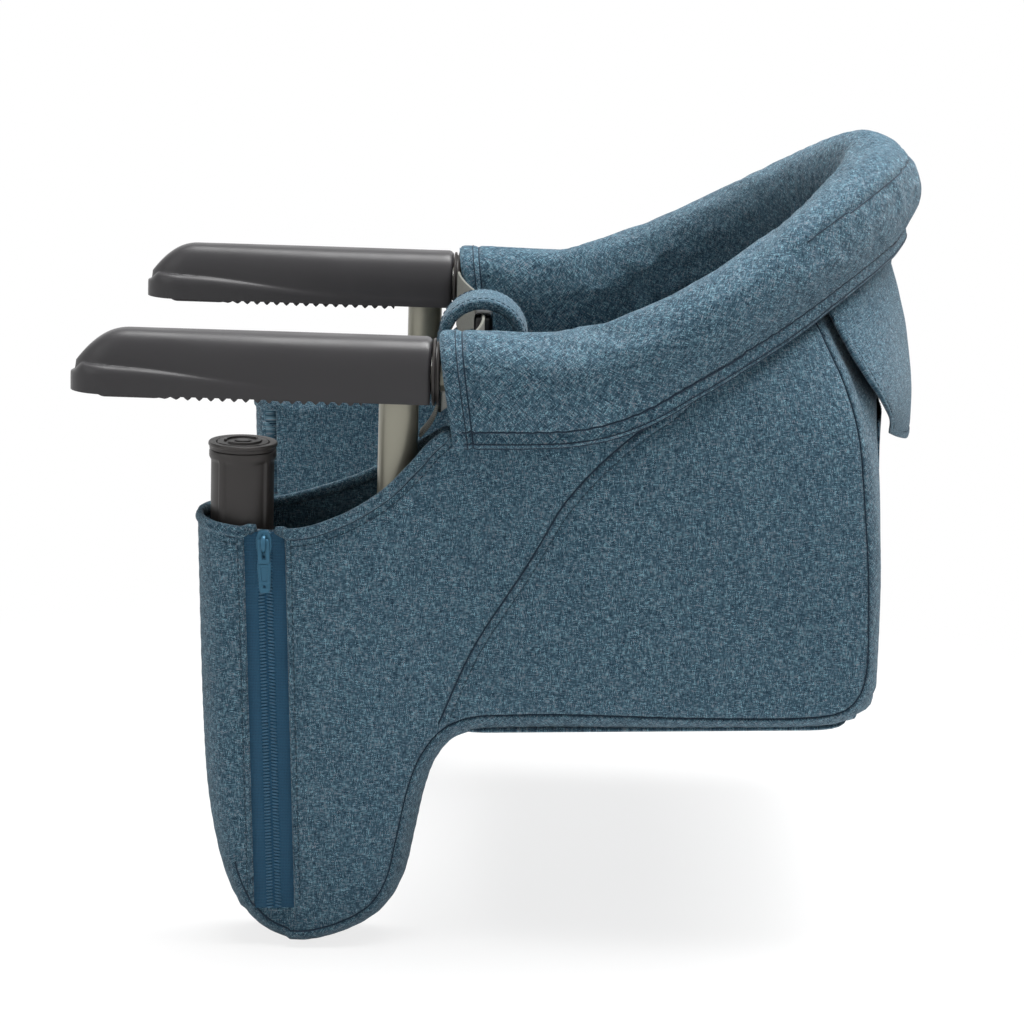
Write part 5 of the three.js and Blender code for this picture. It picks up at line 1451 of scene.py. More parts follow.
def flat_plate(name, outline, low, high, material, mirror, hole=None, bevel=0.35):
    """A plate cut to an outline in the zip's plane, with an optional round-cornered hole."""
    curve = bpy.data.curves.new(name, "CURVE")
    curve.dimensions = "2D"
    curve.fill_mode = "BOTH"
    curve.extrude = (high - low) / 2 - bevel
    curve.bevel_depth = bevel
    curve.bevel_resolution = 2
    for loop in [outline] + ([hole] if hole is not None else []):
        spline = curve.splines.new("POLY")
        spline.points.add(len(loop) - 1)
        for point, (x, y) in zip(spline.points, loop):
            point.co = (x, y, 0, 1)
        spline.use_cyclic_u = True
    carrier = place_object(name + "_cut", curve)
    bpy.context.view_layer.update()
    mesh = bpy.data.meshes.new_from_object(carrier.evaluated_get(bpy.context.evaluated_depsgraph_get()))
    bpy.data.objects.remove(carrier)
    bpy.data.curves.remove(curve)
    points = vertex_places(mesh)
    placed = zip_place(np.column_stack([points[:, 0], points[:, 2] + (low + high) / 2,
                                        points[:, 1]])) * MM
    placed = handed(placed, mirror)
    mesh.vertices.foreach_set("co", placed.astype(np.float32).ravel())
    build = bmesh.new()
    build.from_mesh(mesh)
    bmesh.ops.remove_doubles(build, verts=build.verts, dist=1e-6)
    bmesh.ops.recalc_face_normals(build, faces=build.faces)
    build.to_mesh(mesh)
    build.free()
    mesh.materials.clear()
    mesh.materials.append(material)
    mesh.shade_smooth()
    mesh.set_sharp_from_angle(angle=math.radians(40))
    mesh.name = name
    return place_object(name, mesh)


def rounded_outline(points, radius, steps=5):
    """A closed outline with its corners rounded."""
    points = np.asarray(points, float)
    result = []
    for before, corner, after in zip(np.roll(points, 1, axis=0), points, np.roll(points, -1, axis=0)):
        one = (before - corner) / np.linalg.norm(before - corner) * radius
        two = (after - corner) / np.linalg.norm(after - corner) * radius
        for share in np.linspace(0, 1, steps):
            result.append(corner + one * (1 - share) ** 2 + two * share ** 2)
    return np.array(result)


def tapered(low, low_half, high, high_half):
    """Corners of an outline whose half width goes from one value to another."""
    return [(-low_half, low), (low_half, low), (high_half, high), (-high_half, high)]


def make_slider(side, mirror):
    """Slider with its bridge, and the tab on its link."""
    metal = finish_of("zip_enamel")
    body = rounded_outline([(-2.2, -1.0), (2.2, -1.0), (3.6, 2.6), (3.5, 7.0), (2.7, 11.4),
                            (-2.7, 11.4), (-3.5, 7.0),
                            (-3.6, 2.6)], 1.2)
    roof = flat_plate(f"{side}_zip_slider_roof", body, 2.6, 4.2, metal, mirror)
    floor = flat_plate(f"{side}_zip_slider_floor", body * np.array([0.96, 1.0]), 0.9, 1.5, metal,
                       mirror, bevel=0.2)
    bridge_line = np.array([(0, 4.0, 0.8), (0, 6.2, 1.6), (0, 7.9, 4.0), (0, 7.9, 6.4), (0, 6.2, 8.6),
                            (0, 4.0, 9.4)])
    line = zip_place(smooth_line(bridge_line, 0.5))
    across = zip_frame()[1]
    angle = full_turn(12)
    profile = np.column_stack([np.cos(angle) * 1.3, np.sin(angle) * 0.6])
    rings = swept(line, np.cross(tangents(line), across), across, profile)
    bridge = skin(f"{side}_zip_bridge", rings, metal, mirror)
    fit(roof, f"{side}_zip_runner", "zip_metal", f"{side}_zip_slider")
    for piece in (floor, bridge):
        fit(piece, f"{side}_zip_runner", "zip_metal")
    link = rounded_outline(tapered(3.0, 2.6, 14.6, 2.6), 0.9)
    eye = rounded_outline(tapered(4.6, 1.3, 13.2, 1.3), 0.4)
    link_plate = flat_plate(f"{side}_zip_link", link, 5.6, 6.9, metal, mirror, eye, 0.5)
    shape = rounded_outline([(-2.7, 12.6), (2.7, 12.6), (3.2, 16.5), (2.5, 28.2), (2.1, 30.0),
                             (-2.1, 30.0), (-2.5, 28.2), (-3.2, 16.5)], 0.9)
    hole = rounded_outline(tapered(26.0, 0.9, 28.0, 0.9), 0.3)
    pull = flat_plate(f"{side}_zip_tab_plate", shape, 5.0, 6.2, metal, mirror, hole)
    rim_inner = rounded_outline(tapered(16.6, 2.0, 24.6, 1.5), 0.9)
    rim_outer = rounded_outline(tapered(15.8, 2.8, 25.3, 2.2), 0.9)
    rim = flat_plate(f"{side}_zip_tab_rim", rim_outer, 5.6, 6.7, metal, mirror, rim_inner, 0.3)
    fit(pull, f"{side}_zip_tab", "zip_metal", f"{side}_zip_pull")
    for piece in (link_plate, rim):
        fit(piece, f"{side}_zip_tab", "zip_metal")


# Roll, back and seat


def roll_section(share):
    """Closed section of the roll about the rail, outwards and upwards, from its outer hem on."""
    sink, radius, lean, drop = roll_shape(share)
    belly = 0.96 + 0.12 * float(ease((share - 0.8) / 0.2))
    points = np.array([
        (HEM_OUT + 8.4, -drop), (HEM_OUT + 9.4, -drop * 0.78), (radius * belly, sink - radius * 0.42),
        (radius, sink + radius * 0.12), (radius * 0.74, sink + radius * (0.7 + lean)),
        (radius * lean, sink + radius),
        (-radius * 0.74, sink + radius * (0.7 - lean)), (-radius, sink + radius * 0.02),
        (-radius * 0.95, sink - radius * 0.6), (-radius * 0.72, -drop * 0.86),
        (-radius * 0.1, -drop * 0.98),
    ])
    return curve_spans(np.vstack([points[-1:], points, points[:2]]), 12)


def roll_place(place, section):
    """Points in space of one section of the roll; its ends slant."""
    centre, out, up = rail(ROLL_FRONT_X, place)
    slant = -0.16 * section[:, 1] * (1 - ease((1 - abs(place)) * ROLL_RUN / 45))
    shift = np.column_stack([slant, 0 * slant, 0 * slant])
    return centre + section[:, :1] * out + section[:, 1:2] * up + shift


def roll_relief(place, section):
    """How far a section of the roll stands out of its plain shape, and how firmly its seams hold it."""
    share = 1 - abs(place)
    run = share * ROLL_RUN
    angle = np.arctan2(section[:, 1], section[:, 0])
    relief = np.full(len(section), -1.3 * max(0, 1 - run / 1.8) ** 2)
    held = np.full(len(section), max(0.0, 1 - run / 2.5))
    band_seam = soft_ridge(run - FRONT_BAND, 1.0, 1.0)
    relief -= band_seam
    held = np.maximum(held, band_seam)
    hem_gap = np.linalg.norm(section - section[0], axis=1)
    outer_part = (section[:, 0] > 5) & (section[:, 1] < 0)
    for height, depth in zip(ROLL_HEM_ROWS, (0.6, 1.2)):
        relief -= outer_part * soft_ridge(hem_gap - height, depth, 0.9)
    relief += outer_part * soft_ridge(hem_gap - 4.6, 0.5, 1.6)
    held = np.maximum(held, outer_part * (1 - ease((hem_gap - 8.5) / 3)))
    held = np.maximum(held, section[:, 1] < section[0, 1] * 0.9)
    top_seam = np.exp(-((angle - ROLL_TOP_SEAM) * 22 / 0.9) ** 2) * ease((share - 0.5) / 0.2)
    relief -= 0.35 * top_seam
    held = np.maximum(held, top_seam)
    inside_back = ease((share - 0.5) / 0.3) * ease((-section[:, 0] + 4) / 10)
    relief += 0.55 * inside_back * math.sin(run / 9.5 * 2 * math.pi + 1.7 * math.sin(run / 21))
    pucker = math.sin(run / 6.3 * 2 * math.pi + 2.2 * math.sin(run / 17))
    relief += pucker * outer_part * soft_ridge(hem_gap - 9, 0.25, 5)
    spots = np.column_stack([np.full(len(section), place * ROLL_RUN), section])
    return relief + 0.7 * waves(spots, 34, 5) + 0.25 * waves(spots, 12, 8), held


def make_roll():
    """The padded roll over the rail, with stitched front bands and the hem that covers the panels."""
    ends = np.linspace(0.935, 1, 20)
    places = np.concatenate([-ends[::-1], np.linspace(-0.935, 0.935, 214)[1:-1], ends])
    rings, hold = [], []
    for place in places:
        section = roll_section(1 - abs(place))
        relief, held = roll_relief(place, section)
        rings.append(roll_place(place, section + unit(section) * relief[:, None]))
        hold.append(held)
    rings = np.array(rings)
    sewing = Sewing()
    sewing.grid(rings, loop_columns=True)
    for place, ring in ((-1, rings[0]), (1, rings[-1])):
        section = roll_section(0)
        tucks = [ring]
        for size, depth in ((0.95, -0.4), (0.88, 0.4), (0.78, 2.2), (0.62, 3.4)):
            tucks.append(roll_place(place, section * size) + np.array([depth, 0, 0]))
        sewing.grid(np.array(tucks), loop_columns=True)
        sewing.cap(tucks[-1])
    roll = sewing.piece("padded_roll", finish_of("cloth_bias"))
    numbers = vertex_numbers(roll, rings.reshape(-1, 3))
    shown = np.ones(len(roll.data.vertices))
    shown[numbers] = np.concatenate(hold)
    swell(roll, shown, 1.6, 2.2, 0.015)
    fit(roll, "seat", "roll_fabric", "bolster")
    filled = vertex_places(roll.data)[numbers] / MM
    roll_seam_shade(places, filled.reshape(rings.shape))


def roll_seam_shade(places, rings):
    """Dark cords on the filled roll in the rows and along the edge of its hem, its front bands and its
    back: painted shade in the seams, and a painted shadow under the hem's edge.
    """
    share = 1 - np.abs(places)

    def line(pick, shown, lift):
        row = []
        for place, ring in zip(places[shown], rings[shown]):
            near = pick(roll_section(1 - abs(place)))
            out = ring[near] - ring.mean(axis=0)
            row.append(ring[near] + unit(out) * lift)
        return smooth_line(row, 1.4)

    def hem_row(gap):
        def nearest(section):
            return int(np.argmin(np.abs(np.linalg.norm(section[:20] - section[0], axis=1) - gap)))
        return nearest

    def top_row(section):
        return int(np.argmin(np.abs(np.arctan2(section[:, 1], section[:, 0]) - ROLL_TOP_SEAM)))

    bands = []
    for way in (-1, 1):
        for inset in (0, BAND_ROW):
            seam_place = way * (1 - (FRONT_BAND - inset) / ROLL_RUN)
            ring = rings[int(np.argmin(np.abs(places - seam_place)))]
            bands.append(np.vstack([ring, ring[:1]]))
    low, high = (line(hem_row(gap), share > 0.015, 0.3) for gap in ROLL_HEM_ROWS)
    # A dark cord just inside the hem's lower edge: painted shadow where the hem stands over the panels.
    edge = line(hem_row(0), share > 0.015, -0.1)
    back = line(top_row, share > 0.58, 0.0)
    strong = seam_shade_cords("roll_seam_shade", [bands[0], bands[2], high, edge], 0.55)
    fine = seam_shade_cords("roll_fine_seam_shade", [bands[1], bands[3], low, back], 0.34)
    for piece in (strong, fine):
        fit(piece, "seat", "roll_fabric")


def back_ends():
    """Inner ends of both side strips behind the seat, from the corner up, and their panel shares."""
    edge = side_lines()[0]
    first = int(np.argmax(edge[:, 0] > 250))
    start = np.maximum(LINING_START, (spread(edge[first:], 64)[:, 0] - PANEL_FRONT) / SHELL_RUN + 0.005)
    ends = [spread(side_strip(mirror)[0][-1][first:], 64) for mirror in (True, False)]
    return ends[0] * np.array([1, -1, 1]), ends[1], start


def back_lining():
    """Points of the lining inside the back panel, from one side to the other."""
    place = np.linspace(-1, 1, 61)
    share = 1 - np.abs(place) * (1 - LINING_START)
    grid_share, grid_height = np.meshgrid(share, np.linspace(0.04, 1.0, 40), indexing="ij")
    points, _ = back_surface(grid_share, grid_height, -LINING_GAP)
    points[..., 1] *= np.where(place < 0, -1.0, 1.0)[:, None]
    return points


def flap_reach(fall):
    """Half the width of the flap along the back panel."""
    return mix(152.0, 82.0, np.asarray(fall, float) ** 4)


def make_back():
    """Back panel and lining, sewn to the ends of the side strips, and the pocket that hangs on it."""
    left, right, start = back_ends()
    place = np.linspace(-1, 1, 161)[:, None]
    end = np.where((place < 0)[..., None], left[None], right[None])
    climb = (right[:, 2] - right[0, 2]) / (right[-1, 2] - right[0, 2])
    inward = 1 - np.abs(place)
    hem_z = float(hem_point(np.array(1.0))[0][2])
    z = mix(end[..., 2], mix(right[0, 2], hem_z + 5, climb)[None], ease(inward / 0.22))
    share = 1 - np.abs(place) * (1 - start[None])
    hem = hem_point(share)[0][..., 2]
    foot = seat_low(SEAT_BACK_X)
    inner_part, away = back_surface(share, (z - foot) / (hem - foot))
    side = np.where(place < 0, -1.0, 1.0)
    inner_part[..., 1] *= side
    away[..., 1] *= side
    inner_part[..., 2] = z
    lift = 0.7 + 0.6 * waves(inner_part.reshape(-1, 3), 55, 11).reshape(z.shape)
    hollow = 8.0 * ease((z - 2) / 24) * (1 - ease((inward - 0.3) / 0.3))
    inner_part += away * (lift - hollow)[..., None]
    panel = mix(end, inner_part, ease(inward / 0.06)[..., None])
    fall = right[0, 2] - foot + 1.2
    rows = []
    for angle in np.radians([90, 72, 54, 36, 18]):
        tuck = np.array([0, 0, -fall]) * math.sin(angle) - away[:, :1] * 18 * (1 - math.cos(angle))
        rows.append(panel[:, :1] + tuck * ease(inward / 0.06)[..., None])
    sewing = Sewing()
    sewing.grid(np.concatenate(rows + [panel], axis=1))
    sewing.grid(back_lining())
    cloth = sewing.piece("back_cloth", finish_of("cloth_straight"))
    thicken(cloth, 1.2)
    fit(cloth, "seat", "body_fabric", "back_panel")
    make_pocket(cloth)


def rear_face(obj, y, z):
    """How far back an object reaches at each place across and up, in millimetres."""
    tree = BVHTree.FromPolygons([v.co for v in obj.data.vertices],
                                [p.vertices for p in obj.data.polygons])
    places = np.column_stack([np.full(y.size, 1000.0), y.ravel(), z.ravel()]) * MM
    hits = [tree.ray_cast(Vector(place), Vector((-1, 0, 0)))[0] for place in places]
    return np.array([hit.x / MM for hit in hits]).reshape(y.shape)


def make_pocket(cloth):
    """Storage pocket that lies on the back cloth, gathered along its upper edge."""
    low, high = node_box("back_pocket")
    half = high[1] - 0.5
    bottom, top = low[2], high[2]
    across = np.linspace(-1, 1, 61)
    upward = np.linspace(0, 1, 45)
    a, u = np.meshgrid(across, upward, indexing="ij")
    corner = np.clip(1 - (1 - np.abs(a)) * half / 22, 0, 1) * np.clip(1 - u * (top - bottom) / 22, 0, 1)
    y = a * half * (1 - 0.02 * np.sin(u * math.pi)) * (1 - 0.05 * corner ** 2)
    z = mix(bottom, top, u) + 5 * corner ** 2
    belly = (1 - np.abs(a) ** 5) * (1 - (1 - np.minimum(1, u * 3.2)) ** 2)
    wrinkle = 0.9 * flat_waves(a * half, z, 38, 21)
    gather = 0.6 * np.sin(a * half / 6.5 * 2 * math.pi) * np.exp(-(1 - u) * 9)
    x = rear_face(cloth, y, z) + 1.1 + belly * (1.6 + wrinkle) + gather * belly
    sewing = Sewing()
    sewing.grid(np.stack([x, y, z], axis=-1))
    pocket = sewing.piece("pocket_pouch", finish_of("cloth_straight"), outward=False)
    if pocket.data.polygons[len(pocket.data.polygons) // 2].normal.x < 0:
        pocket.data.flip_normals()
    thicken(pocket, 0.9)
    fit(pocket, "seat", "body_fabric", "back_pocket")


def flap_point(across, fall, proud=0.0):
    """Point of the flap: across from -1 to 1, fall from its upper edge 0 to its lower edge 1."""
    across, fall = np.broadcast_arrays(np.asarray(across, float), np.asarray(fall, float))
    share = 1 - np.abs(across) * flap_reach(fall) / SHELL_RUN
    hem, _ = hem_point(share)
    low = mix(-34.5, -20.0, across ** 2)
    z = mix(hem[..., 2] + 1.0, low, fall)
    foot_z = seat_low(SEAT_BACK_X)
    point, away = back_surface(share, (z - foot_z) / (hem[..., 2] - foot_z))
    point[..., 2] = z
    drape = 1 - (1 - np.clip((fall - 0.155) / 0.845, 0, 1)) ** 2.2
    flare = mix(20.9, 5.0, across ** 2) * drape
    point = point + away * (2.4 + flare + proud)[..., None]
    point[..., 1] *= np.where(across < 0, -1.0, 1.0)
    return point


def make_flap():
    """Flap over the pocket, with a stitched hem."""
    across = np.linspace(-1, 1, 121)
    fall = np.linspace(0, 1, 61)
    a, f = np.meshgrid(across, fall, indexing="ij")
    flat_x, flat_y = a * 100, f * 110
    wrinkle = 0.9 * flat_waves(flat_x, flat_y, 42, 31) + 0.35 * flat_waves(flat_x, flat_y, 15, 33)
    edge = np.minimum((1 - np.abs(a)) * flap_reach(f), (1 - f) * FLAP_FALL)
    stitch = soft_ridge(edge - 1.5, 0.4, 1.4) - soft_ridge(edge - FLAP_HEM, 0.5, 1.1)
    sewing = Sewing()
    sewing.grid(flap_point(a, f, wrinkle + stitch))
    flap = sewing.piece("flap_cloth", finish_of("cloth_straight"), outward=False)
    if sum(p.normal.x for p in flap.data.polygons) < 0:
        flap.data.flip_normals()
    thicken(flap, 2.2, 0.0)
    side_fall = np.linspace(0.06, 1 - FLAP_HEM / FLAP_FALL, 70)
    edge_in = 1 - FLAP_HEM / flap_reach(side_fall)
    over = np.linspace(-edge_in[-1], edge_in[-1], 110)
    rows = [flap_point(way * edge_in, side_fall, np.full(70, 0.8)) for way in (-1, 1)]
    rows.append(flap_point(over, np.full(110, 1 - FLAP_HEM / FLAP_FALL), np.full(110, 0.8)))
    threads = stitches("flap_stitches", rows)
    for piece in (flap, threads):
        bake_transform(piece)
    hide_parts("pocket_flap")


def seat_outline(front, rear, half, corner, step):
    """A plan outline with rounded corners."""
    outline = rounded_outline([(front, -half), (rear, -half), (rear, half), (front, half)], corner, 8)
    return resample(np.vstack([outline, outline[:1]]), step)[:-1]


def make_seat():
    """Seat cushion, the covered board below it and the cloth under the seat."""
    low, high = node_box("seat_bottom")
    under_rows = ((9, 2.5), (2.5, 2.4), (0.5, 1.6), (0, 0.8), (0.8, -0.2), (3, -0.6), (14, -0.9),
                  (40, -1.2), (90, -1.4))
    seat_slab("seat_under_cloth", "seat_bottom", low, high - np.array([UNDER_SHORT, 0, 0]), 20.0,
              under_rows)
    low, high = node_box("seat_board")
    board_rows = ((90, 2.8), (3, 2.8), (0.6, 3.2), (0, 4.4), (0.3, 5.8), (1.4, 6.8), (4, 7.0),
                  (30, 7.0), (90, 7.0))
    seat_slab("board_cover", "seat_board", low, high, 8.0, board_rows)
    make_cushion()


def seat_slab(name, node, low, high, corner, rows):
    """A flat covered piece of the seat; rows give inset and height of its rings."""
    front, rear, half = low[0], high[0], high[1]
    outline = seat_outline(front, rear, half, corner, 5)
    middle = np.array([(front + rear) / 2, 0])
    rings = []
    for inset, height in rows:
        flat = middle + (outline - middle) * (1 - inset / np.array([(rear - front) / 2, half]))
        rings.append(np.column_stack([flat, seat_low(flat[:, 0]) + height]))
    rings = np.array(rings)
    cloth = np.concatenate([rings[..., :2], rings[:, :1, :2]], axis=1)
    slab = skin(name, rings, finish_of("cloth_straight"), crease=60, cloth=cloth)
    fit(slab, "seat", "body_fabric", node)


def channel_share(y, half):
    """How close a place of the cushion is to one of its two sewn channels, from 0 to 1."""
    return soft_ridge(np.abs(y) - half * 0.45, 1.0, 2.2)


def make_cushion():
    """Filled seat cushion with two sewn channels."""
    low, high = node_box("seat_pad")
    front, rear, half = low[0], high[0], high[1]
    across = np.linspace(-1, 1, 71)
    along = np.linspace(0, 1, 51)
    a, s = np.meshgrid(across, along, indexing="ij")
    draw = 3.0
    y = a * (half - draw * np.sin(s * math.pi) * np.abs(a))
    x = mix(front, rear, s) + draw * (1 - a ** 2) * (1 - 2 * s) * 0.8
    edge = (1 - np.abs(a) ** 6) * (1 - np.abs(2 * s - 1) ** 6)
    wrinkle = 0.6 * flat_waves(x, y, 30, 41)
    relief = 7.0 * np.sqrt(np.maximum(0, edge)) + wrinkle * edge - 2.0 * channel_share(y, half) * edge
    z = seat_low(x) + CUSHION_FOOT + 6.0 + relief
    top = np.stack([x, y, z], axis=-1)
    bottom = np.stack([x, y, seat_low(x) + CUSHION_FOOT], axis=-1)
    sewing = Sewing()
    sewing.grid(top)
    sewing.grid(bottom[::-1])
    border = [(top[:, 0], bottom[:, 0]), (top[-1, :], bottom[-1, :]), (top[::-1, -1], bottom[::-1, -1]),
              (top[0, ::-1], bottom[0, ::-1])]
    for upper, lower in border:
        bulge = mix(upper, lower, 0.5)
        bulge[:, :2] += unit(bulge[:, :2] - np.array([(front + rear) / 2, 0])) * 1.2
        sewing.grid(np.array([upper, bulge, lower]))
    cushion = sewing.piece("seat_cushion", finish_of("cloth_straight"))
    points = vertex_places(cushion.data) / MM
    over = points[:, 2] - seat_low(points[:, 0]) - CUSHION_FOOT
    swell(cushion, np.where(over < 5.5, 1.0, channel_share(points[:, 1], half)), 2.5, 5.0, 0.04)
    fit(cushion, "seat", "body_fabric", "seat_pad")


# Harness


def webbing_band(name, path, across, width):
    """A flat piece of belt webbing along a path, with rounded edges."""
    half, thick = width / 2, BELT_THICK / 2
    profile = rounded_outline(tapered(-thick, half, thick, half), 0.7, 4)
    around = run_along(np.vstack([profile, profile[:1]]))
    cloth = lattice(run_along(path), around)
    rings = swept(path, unit(np.cross(tangents(path), across)), across, profile)
    return skin(name, rings, finish_of("belt_webbing"), crease=60, cloth=cloth)


def make_strap():
    """Cloth strap between the legs, with the loop that carries the buckle."""
    angle = np.linspace(-math.pi / 2, 1.5 * math.pi, 80)
    radius = 21.5
    loop = np.column_stack([LOOP_X + radius * np.cos(angle), np.zeros(80),
                            LOOP_Z + radius * np.sin(angle)])
    out = np.column_stack([np.cos(angle), np.zeros(80), np.sin(angle)])
    across = np.array([0, 1.0, 0])
    half, thick = 20.0, 2.9
    profile = rounded_outline(tapered(-thick, half, thick, half), 1.9, 5)
    sewing = Sewing()
    sewing.grid(swept(loop[:-1], out[:-1], across, profile), loop_rows=True, loop_columns=True)
    foot_x = 58.0
    foot = np.array([foot_x, 0, float(seat_low(foot_x)) + 7.3])
    top = np.array([LOOP_X, 0, LOOP_Z - radius - 0.4])
    stem = smooth_line([top, mix(top, foot, 0.3) + (1.5, 0, 0), mix(top, foot, 0.7) + (1.0, 0, 0),
                        foot], 4)
    sewing.tube(swept(stem, np.cross(tangents(stem), across), across, profile))
    strap = sewing.piece("crotch_strap_cloth", finish_of("cloth_straight"), crease=60)
    fit(strap, "seat", "body_fabric", "crotch_strap")
    face = loop + out * (thick + 0.15)
    threads = stitches("strap_stitches", [face[4:-4] + across * way * (half - 3.4) for way in (-1, 1)])
    fit(threads, "seat", "body_fabric")


def make_belt(side, mirror, end):
    """Waist belt from the ring behind the arm to the buckle, and its free tail below the ring."""
    share = np.linspace(0, 1, 50)
    y = mix(ARM_Y - 17.3, end, share)
    x = mix(29.9, LOOP_X, ease(share)) + 3.0 * np.sin(share * math.pi)
    z = LOOP_Z - 2.5 * np.sin(share * math.pi)
    path = handed(np.column_stack([x, y, z]), mirror)
    belt = webbing_band(f"{side}_belt_webbing", path, np.array([0, 0, 1.0]), 32)
    fit(belt, "seat", "webbing", f"{side}_waist_belt")
    path = smooth_line([(29.4, 149.0, 1.0), (28.4, 147.5, -4.5), (25.2, 146.0, -11.0),
                        (21.0, 145.0, -16.5)], 1.2)
    tail = webbing_band(f"{side}_belt_tail", handed(path, mirror), np.array([0, 1.0, 0]), 18)
    fit(tail, "seat", "webbing")


def make_buckle():
    """Buckle in the strap's loop: bored shell, tongue and button."""
    middle, half = np.array([LOOP_X, 0, LOOP_Z]), np.array([5, 13, 14.5])
    shell = rounded_block("buckle_shell", middle - half, middle + half, 2.6,
                          finish_of("buckle_moulding"))
    bore(shell, (LOOP_X - 8, 0, LOOP_Z), (LOOP_X + 3, 0, LOOP_Z), 5.3)
    fit(shell, "seat", "dark_plastic", "buckle_body")
    low, high = node_box("buckle_tongue")
    tongue = rounded_block("buckle_tongue_plate", (low[0], 12.0, low[2]), high, 0.8,
                           finish_of("buckle_moulding"))
    fit(tongue, "seat", "dark_plastic", "buckle_tongue")
    front = node_box("buckle_button")[0][0]
    dished = ((3.4, 0.5), (3.4, 5), (0.9, 5), (0.3, 4.7), (0, 4.1), (0.35, 2.6), (0.5, 0.5))
    profile = [(front + depth, radius) for depth, radius in dished]
    button = turned("buckle_push", profile, (0, 0, LOOP_Z), "x", finish_of("clamp_moulding"), False, 48)
    fit(button, "button", "dark_plastic", "buckle_button")


# Stitches


def side_stitches(side, mirror):
    """Stitch rows on the side cloth, and dark cords that paint the shade in its creased seams."""
    seed = cloth_seed(mirror)
    seam = side_lines()[1]
    fold = smooth_line(FOLD_SEAM, 1.6)
    mouth = smooth_line(MOUTH_EDGE, 1.6)
    mouth = mouth[(mouth[:, 0] > -74) & (mouth[:, 0] < 33)]
    zips = zip_line()
    zips = zips[(zips[:, 1] < -68) & (zips[:, 1] > -258)]
    sewn = [offset_line(fold, SEAM_GAP), offset_line(zips, ZIP_HALF + ZIP_ROW),
            offset_line(zips, -ZIP_HALF - ZIP_ROW)]
    creased = [fold, seam[front_run()[1]:]]
    for drop, rows in ((HEM_ROLL, creased), (HEM_ROLL + HEM_ROWS, sewn)):
        row = offset_line(mouth, -drop)
        from_zip = row[:, 0] - ZIP_TOP[0]
        clear = ZIP_HALF + 3.9
        rows += [row[from_zip < -clear], row[from_zip > clear]]

    def placed(rows, lift):
        shown = [line for line in rows if len(line) > 1]
        return [handed(outer_point(line, outer_relief(line, seam, seed) + lift),
                       mirror) for line in shown]

    threads = stitches(f"{side}_side_stitches", placed(sewn, 0.2))
    # Dark cords in the creased seams: painted shade in their grooves.
    cords = seam_shade_cords(f"{side}_side_seam_shade", placed(creased, 0.1), 0.55)
    for piece in (threads, cords):
        bend_with_arm(piece)


# Stage


def aim_camera():
    """Camera of the photograph: its turn, tilt, roll and distance."""
    yaw, tilt, roll = (math.radians(a) for a in CAMERA_TURNS)
    forward = Vector((math.sin(yaw) * math.cos(tilt), math.cos(yaw) * math.cos(tilt), -math.sin(tilt)))
    level = Vector((math.cos(yaw), -math.sin(yaw), 0))
    down = forward.cross(level)
    right = level * math.cos(roll) - down * math.sin(roll)
    down = level * math.sin(roll) + down * math.cos(roll)
    data = bpy.data.cameras.new("photo_camera")
    data.sensor_width = SENSOR_WIDTH
    data.lens = CAMERA_FOCUS / PHOTO_WIDTH * SENSOR_WIDTH
    data.clip_end = 50
    camera = bpy.data.objects.new("photo_camera", data)
    axes = Matrix((right, -down, -forward)).transposed()
    camera.matrix_world = Matrix.Translation(Vector(CAMERA_PLACE) * MM) @ axes.to_4x4()
    bpy.context.scene.collection.objects.link(camera)
    bpy.context.scene.camera = camera


def make_floor(level):
    """Pale floor that shows white, with a faint shadow round the object."""
    size = 30.0
    mesh = bpy.data.meshes.new("floor")
    corners = [(x * size, y * size, level) for x, y in ((-1, -1), (1, -1), (1, 1), (-1, 1))]
    mesh.from_pydata(corners, [], [(0, 1, 2, 3)])
    floor = place_object("floor", mesh)
    material = bpy.data.materials.new("floor_white")
    material.use_nodes = True
    tree = material.node_tree
    shader = tree.nodes["Principled BSDF"]
    shader.inputs["Base Color"].default_value = (0.9, 0.9, 0.9, 1)
    shader.inputs["Roughness"].default_value = 0.9
    spot = add_node(tree, "ShaderNodeTexCoord").outputs["Object"]
    gap = add_node(tree, "ShaderNodeVectorMath", {0: spot, 1: (0.06, 0, level)},
                   operation="DISTANCE").outputs["Value"]
    white = add_node(tree, "ShaderNodeEmission", {"Color": (1, 1, 1, 1), "Strength": 1.0}).outputs[0]
    share = maths(tree, "MULTIPLY", seen_share(tree), stretch(tree, gap, 0.18, 0.6, 0.8, 1.0))
    blend = add_node(tree, "ShaderNodeMixShader", {0: share, 1: shader.outputs[0], 2: white}).outputs[0]
    tree.links.new(blend, tree.nodes["Material Output"].inputs["Surface"])
    mesh.materials.append(material)
    floor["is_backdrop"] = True


def make_light():
    """White surroundings and three soft lamps."""
    stage = bpy.context.scene.chair_stage
    world = bpy.data.worlds.new("studio")
    world.use_nodes = True
    tree = world.node_tree
    background = tree.nodes["Background"]
    strength = between(tree, seen_share(tree), stage.fill, 1.0)
    background.inputs["Color"].default_value = (1, 1, 1, 1)
    tree.links.new(strength, background.inputs["Strength"])
    bpy.context.scene.world = world
    for name, place, aim, size, power in (
        ("key_light", (0.15, 0.05, 2.1), (0.05, 0, 0), 1.6, stage.key),
        ("front_light", (-1.6, -1.3, 0.9), (0.0, 0, -0.1), 1.2, stage.key * 0.08),
        ("back_light", (1.1, 0.25, 1.8), (0.2, 0, 0.1), 1.3, stage.key * 0.75),
    ):
        data = bpy.data.lights.new(name, "AREA")
        data.size = size
        data.energy = power
        lamp = bpy.data.objects.new(name, data)
        lamp.location = place
        lamp.rotation_euler = (Vector(aim) - Vector(place)).to_track_quat("-Z", "Y").to_euler()
        bpy.context.scene.collection.objects.link(lamp)


# Settings


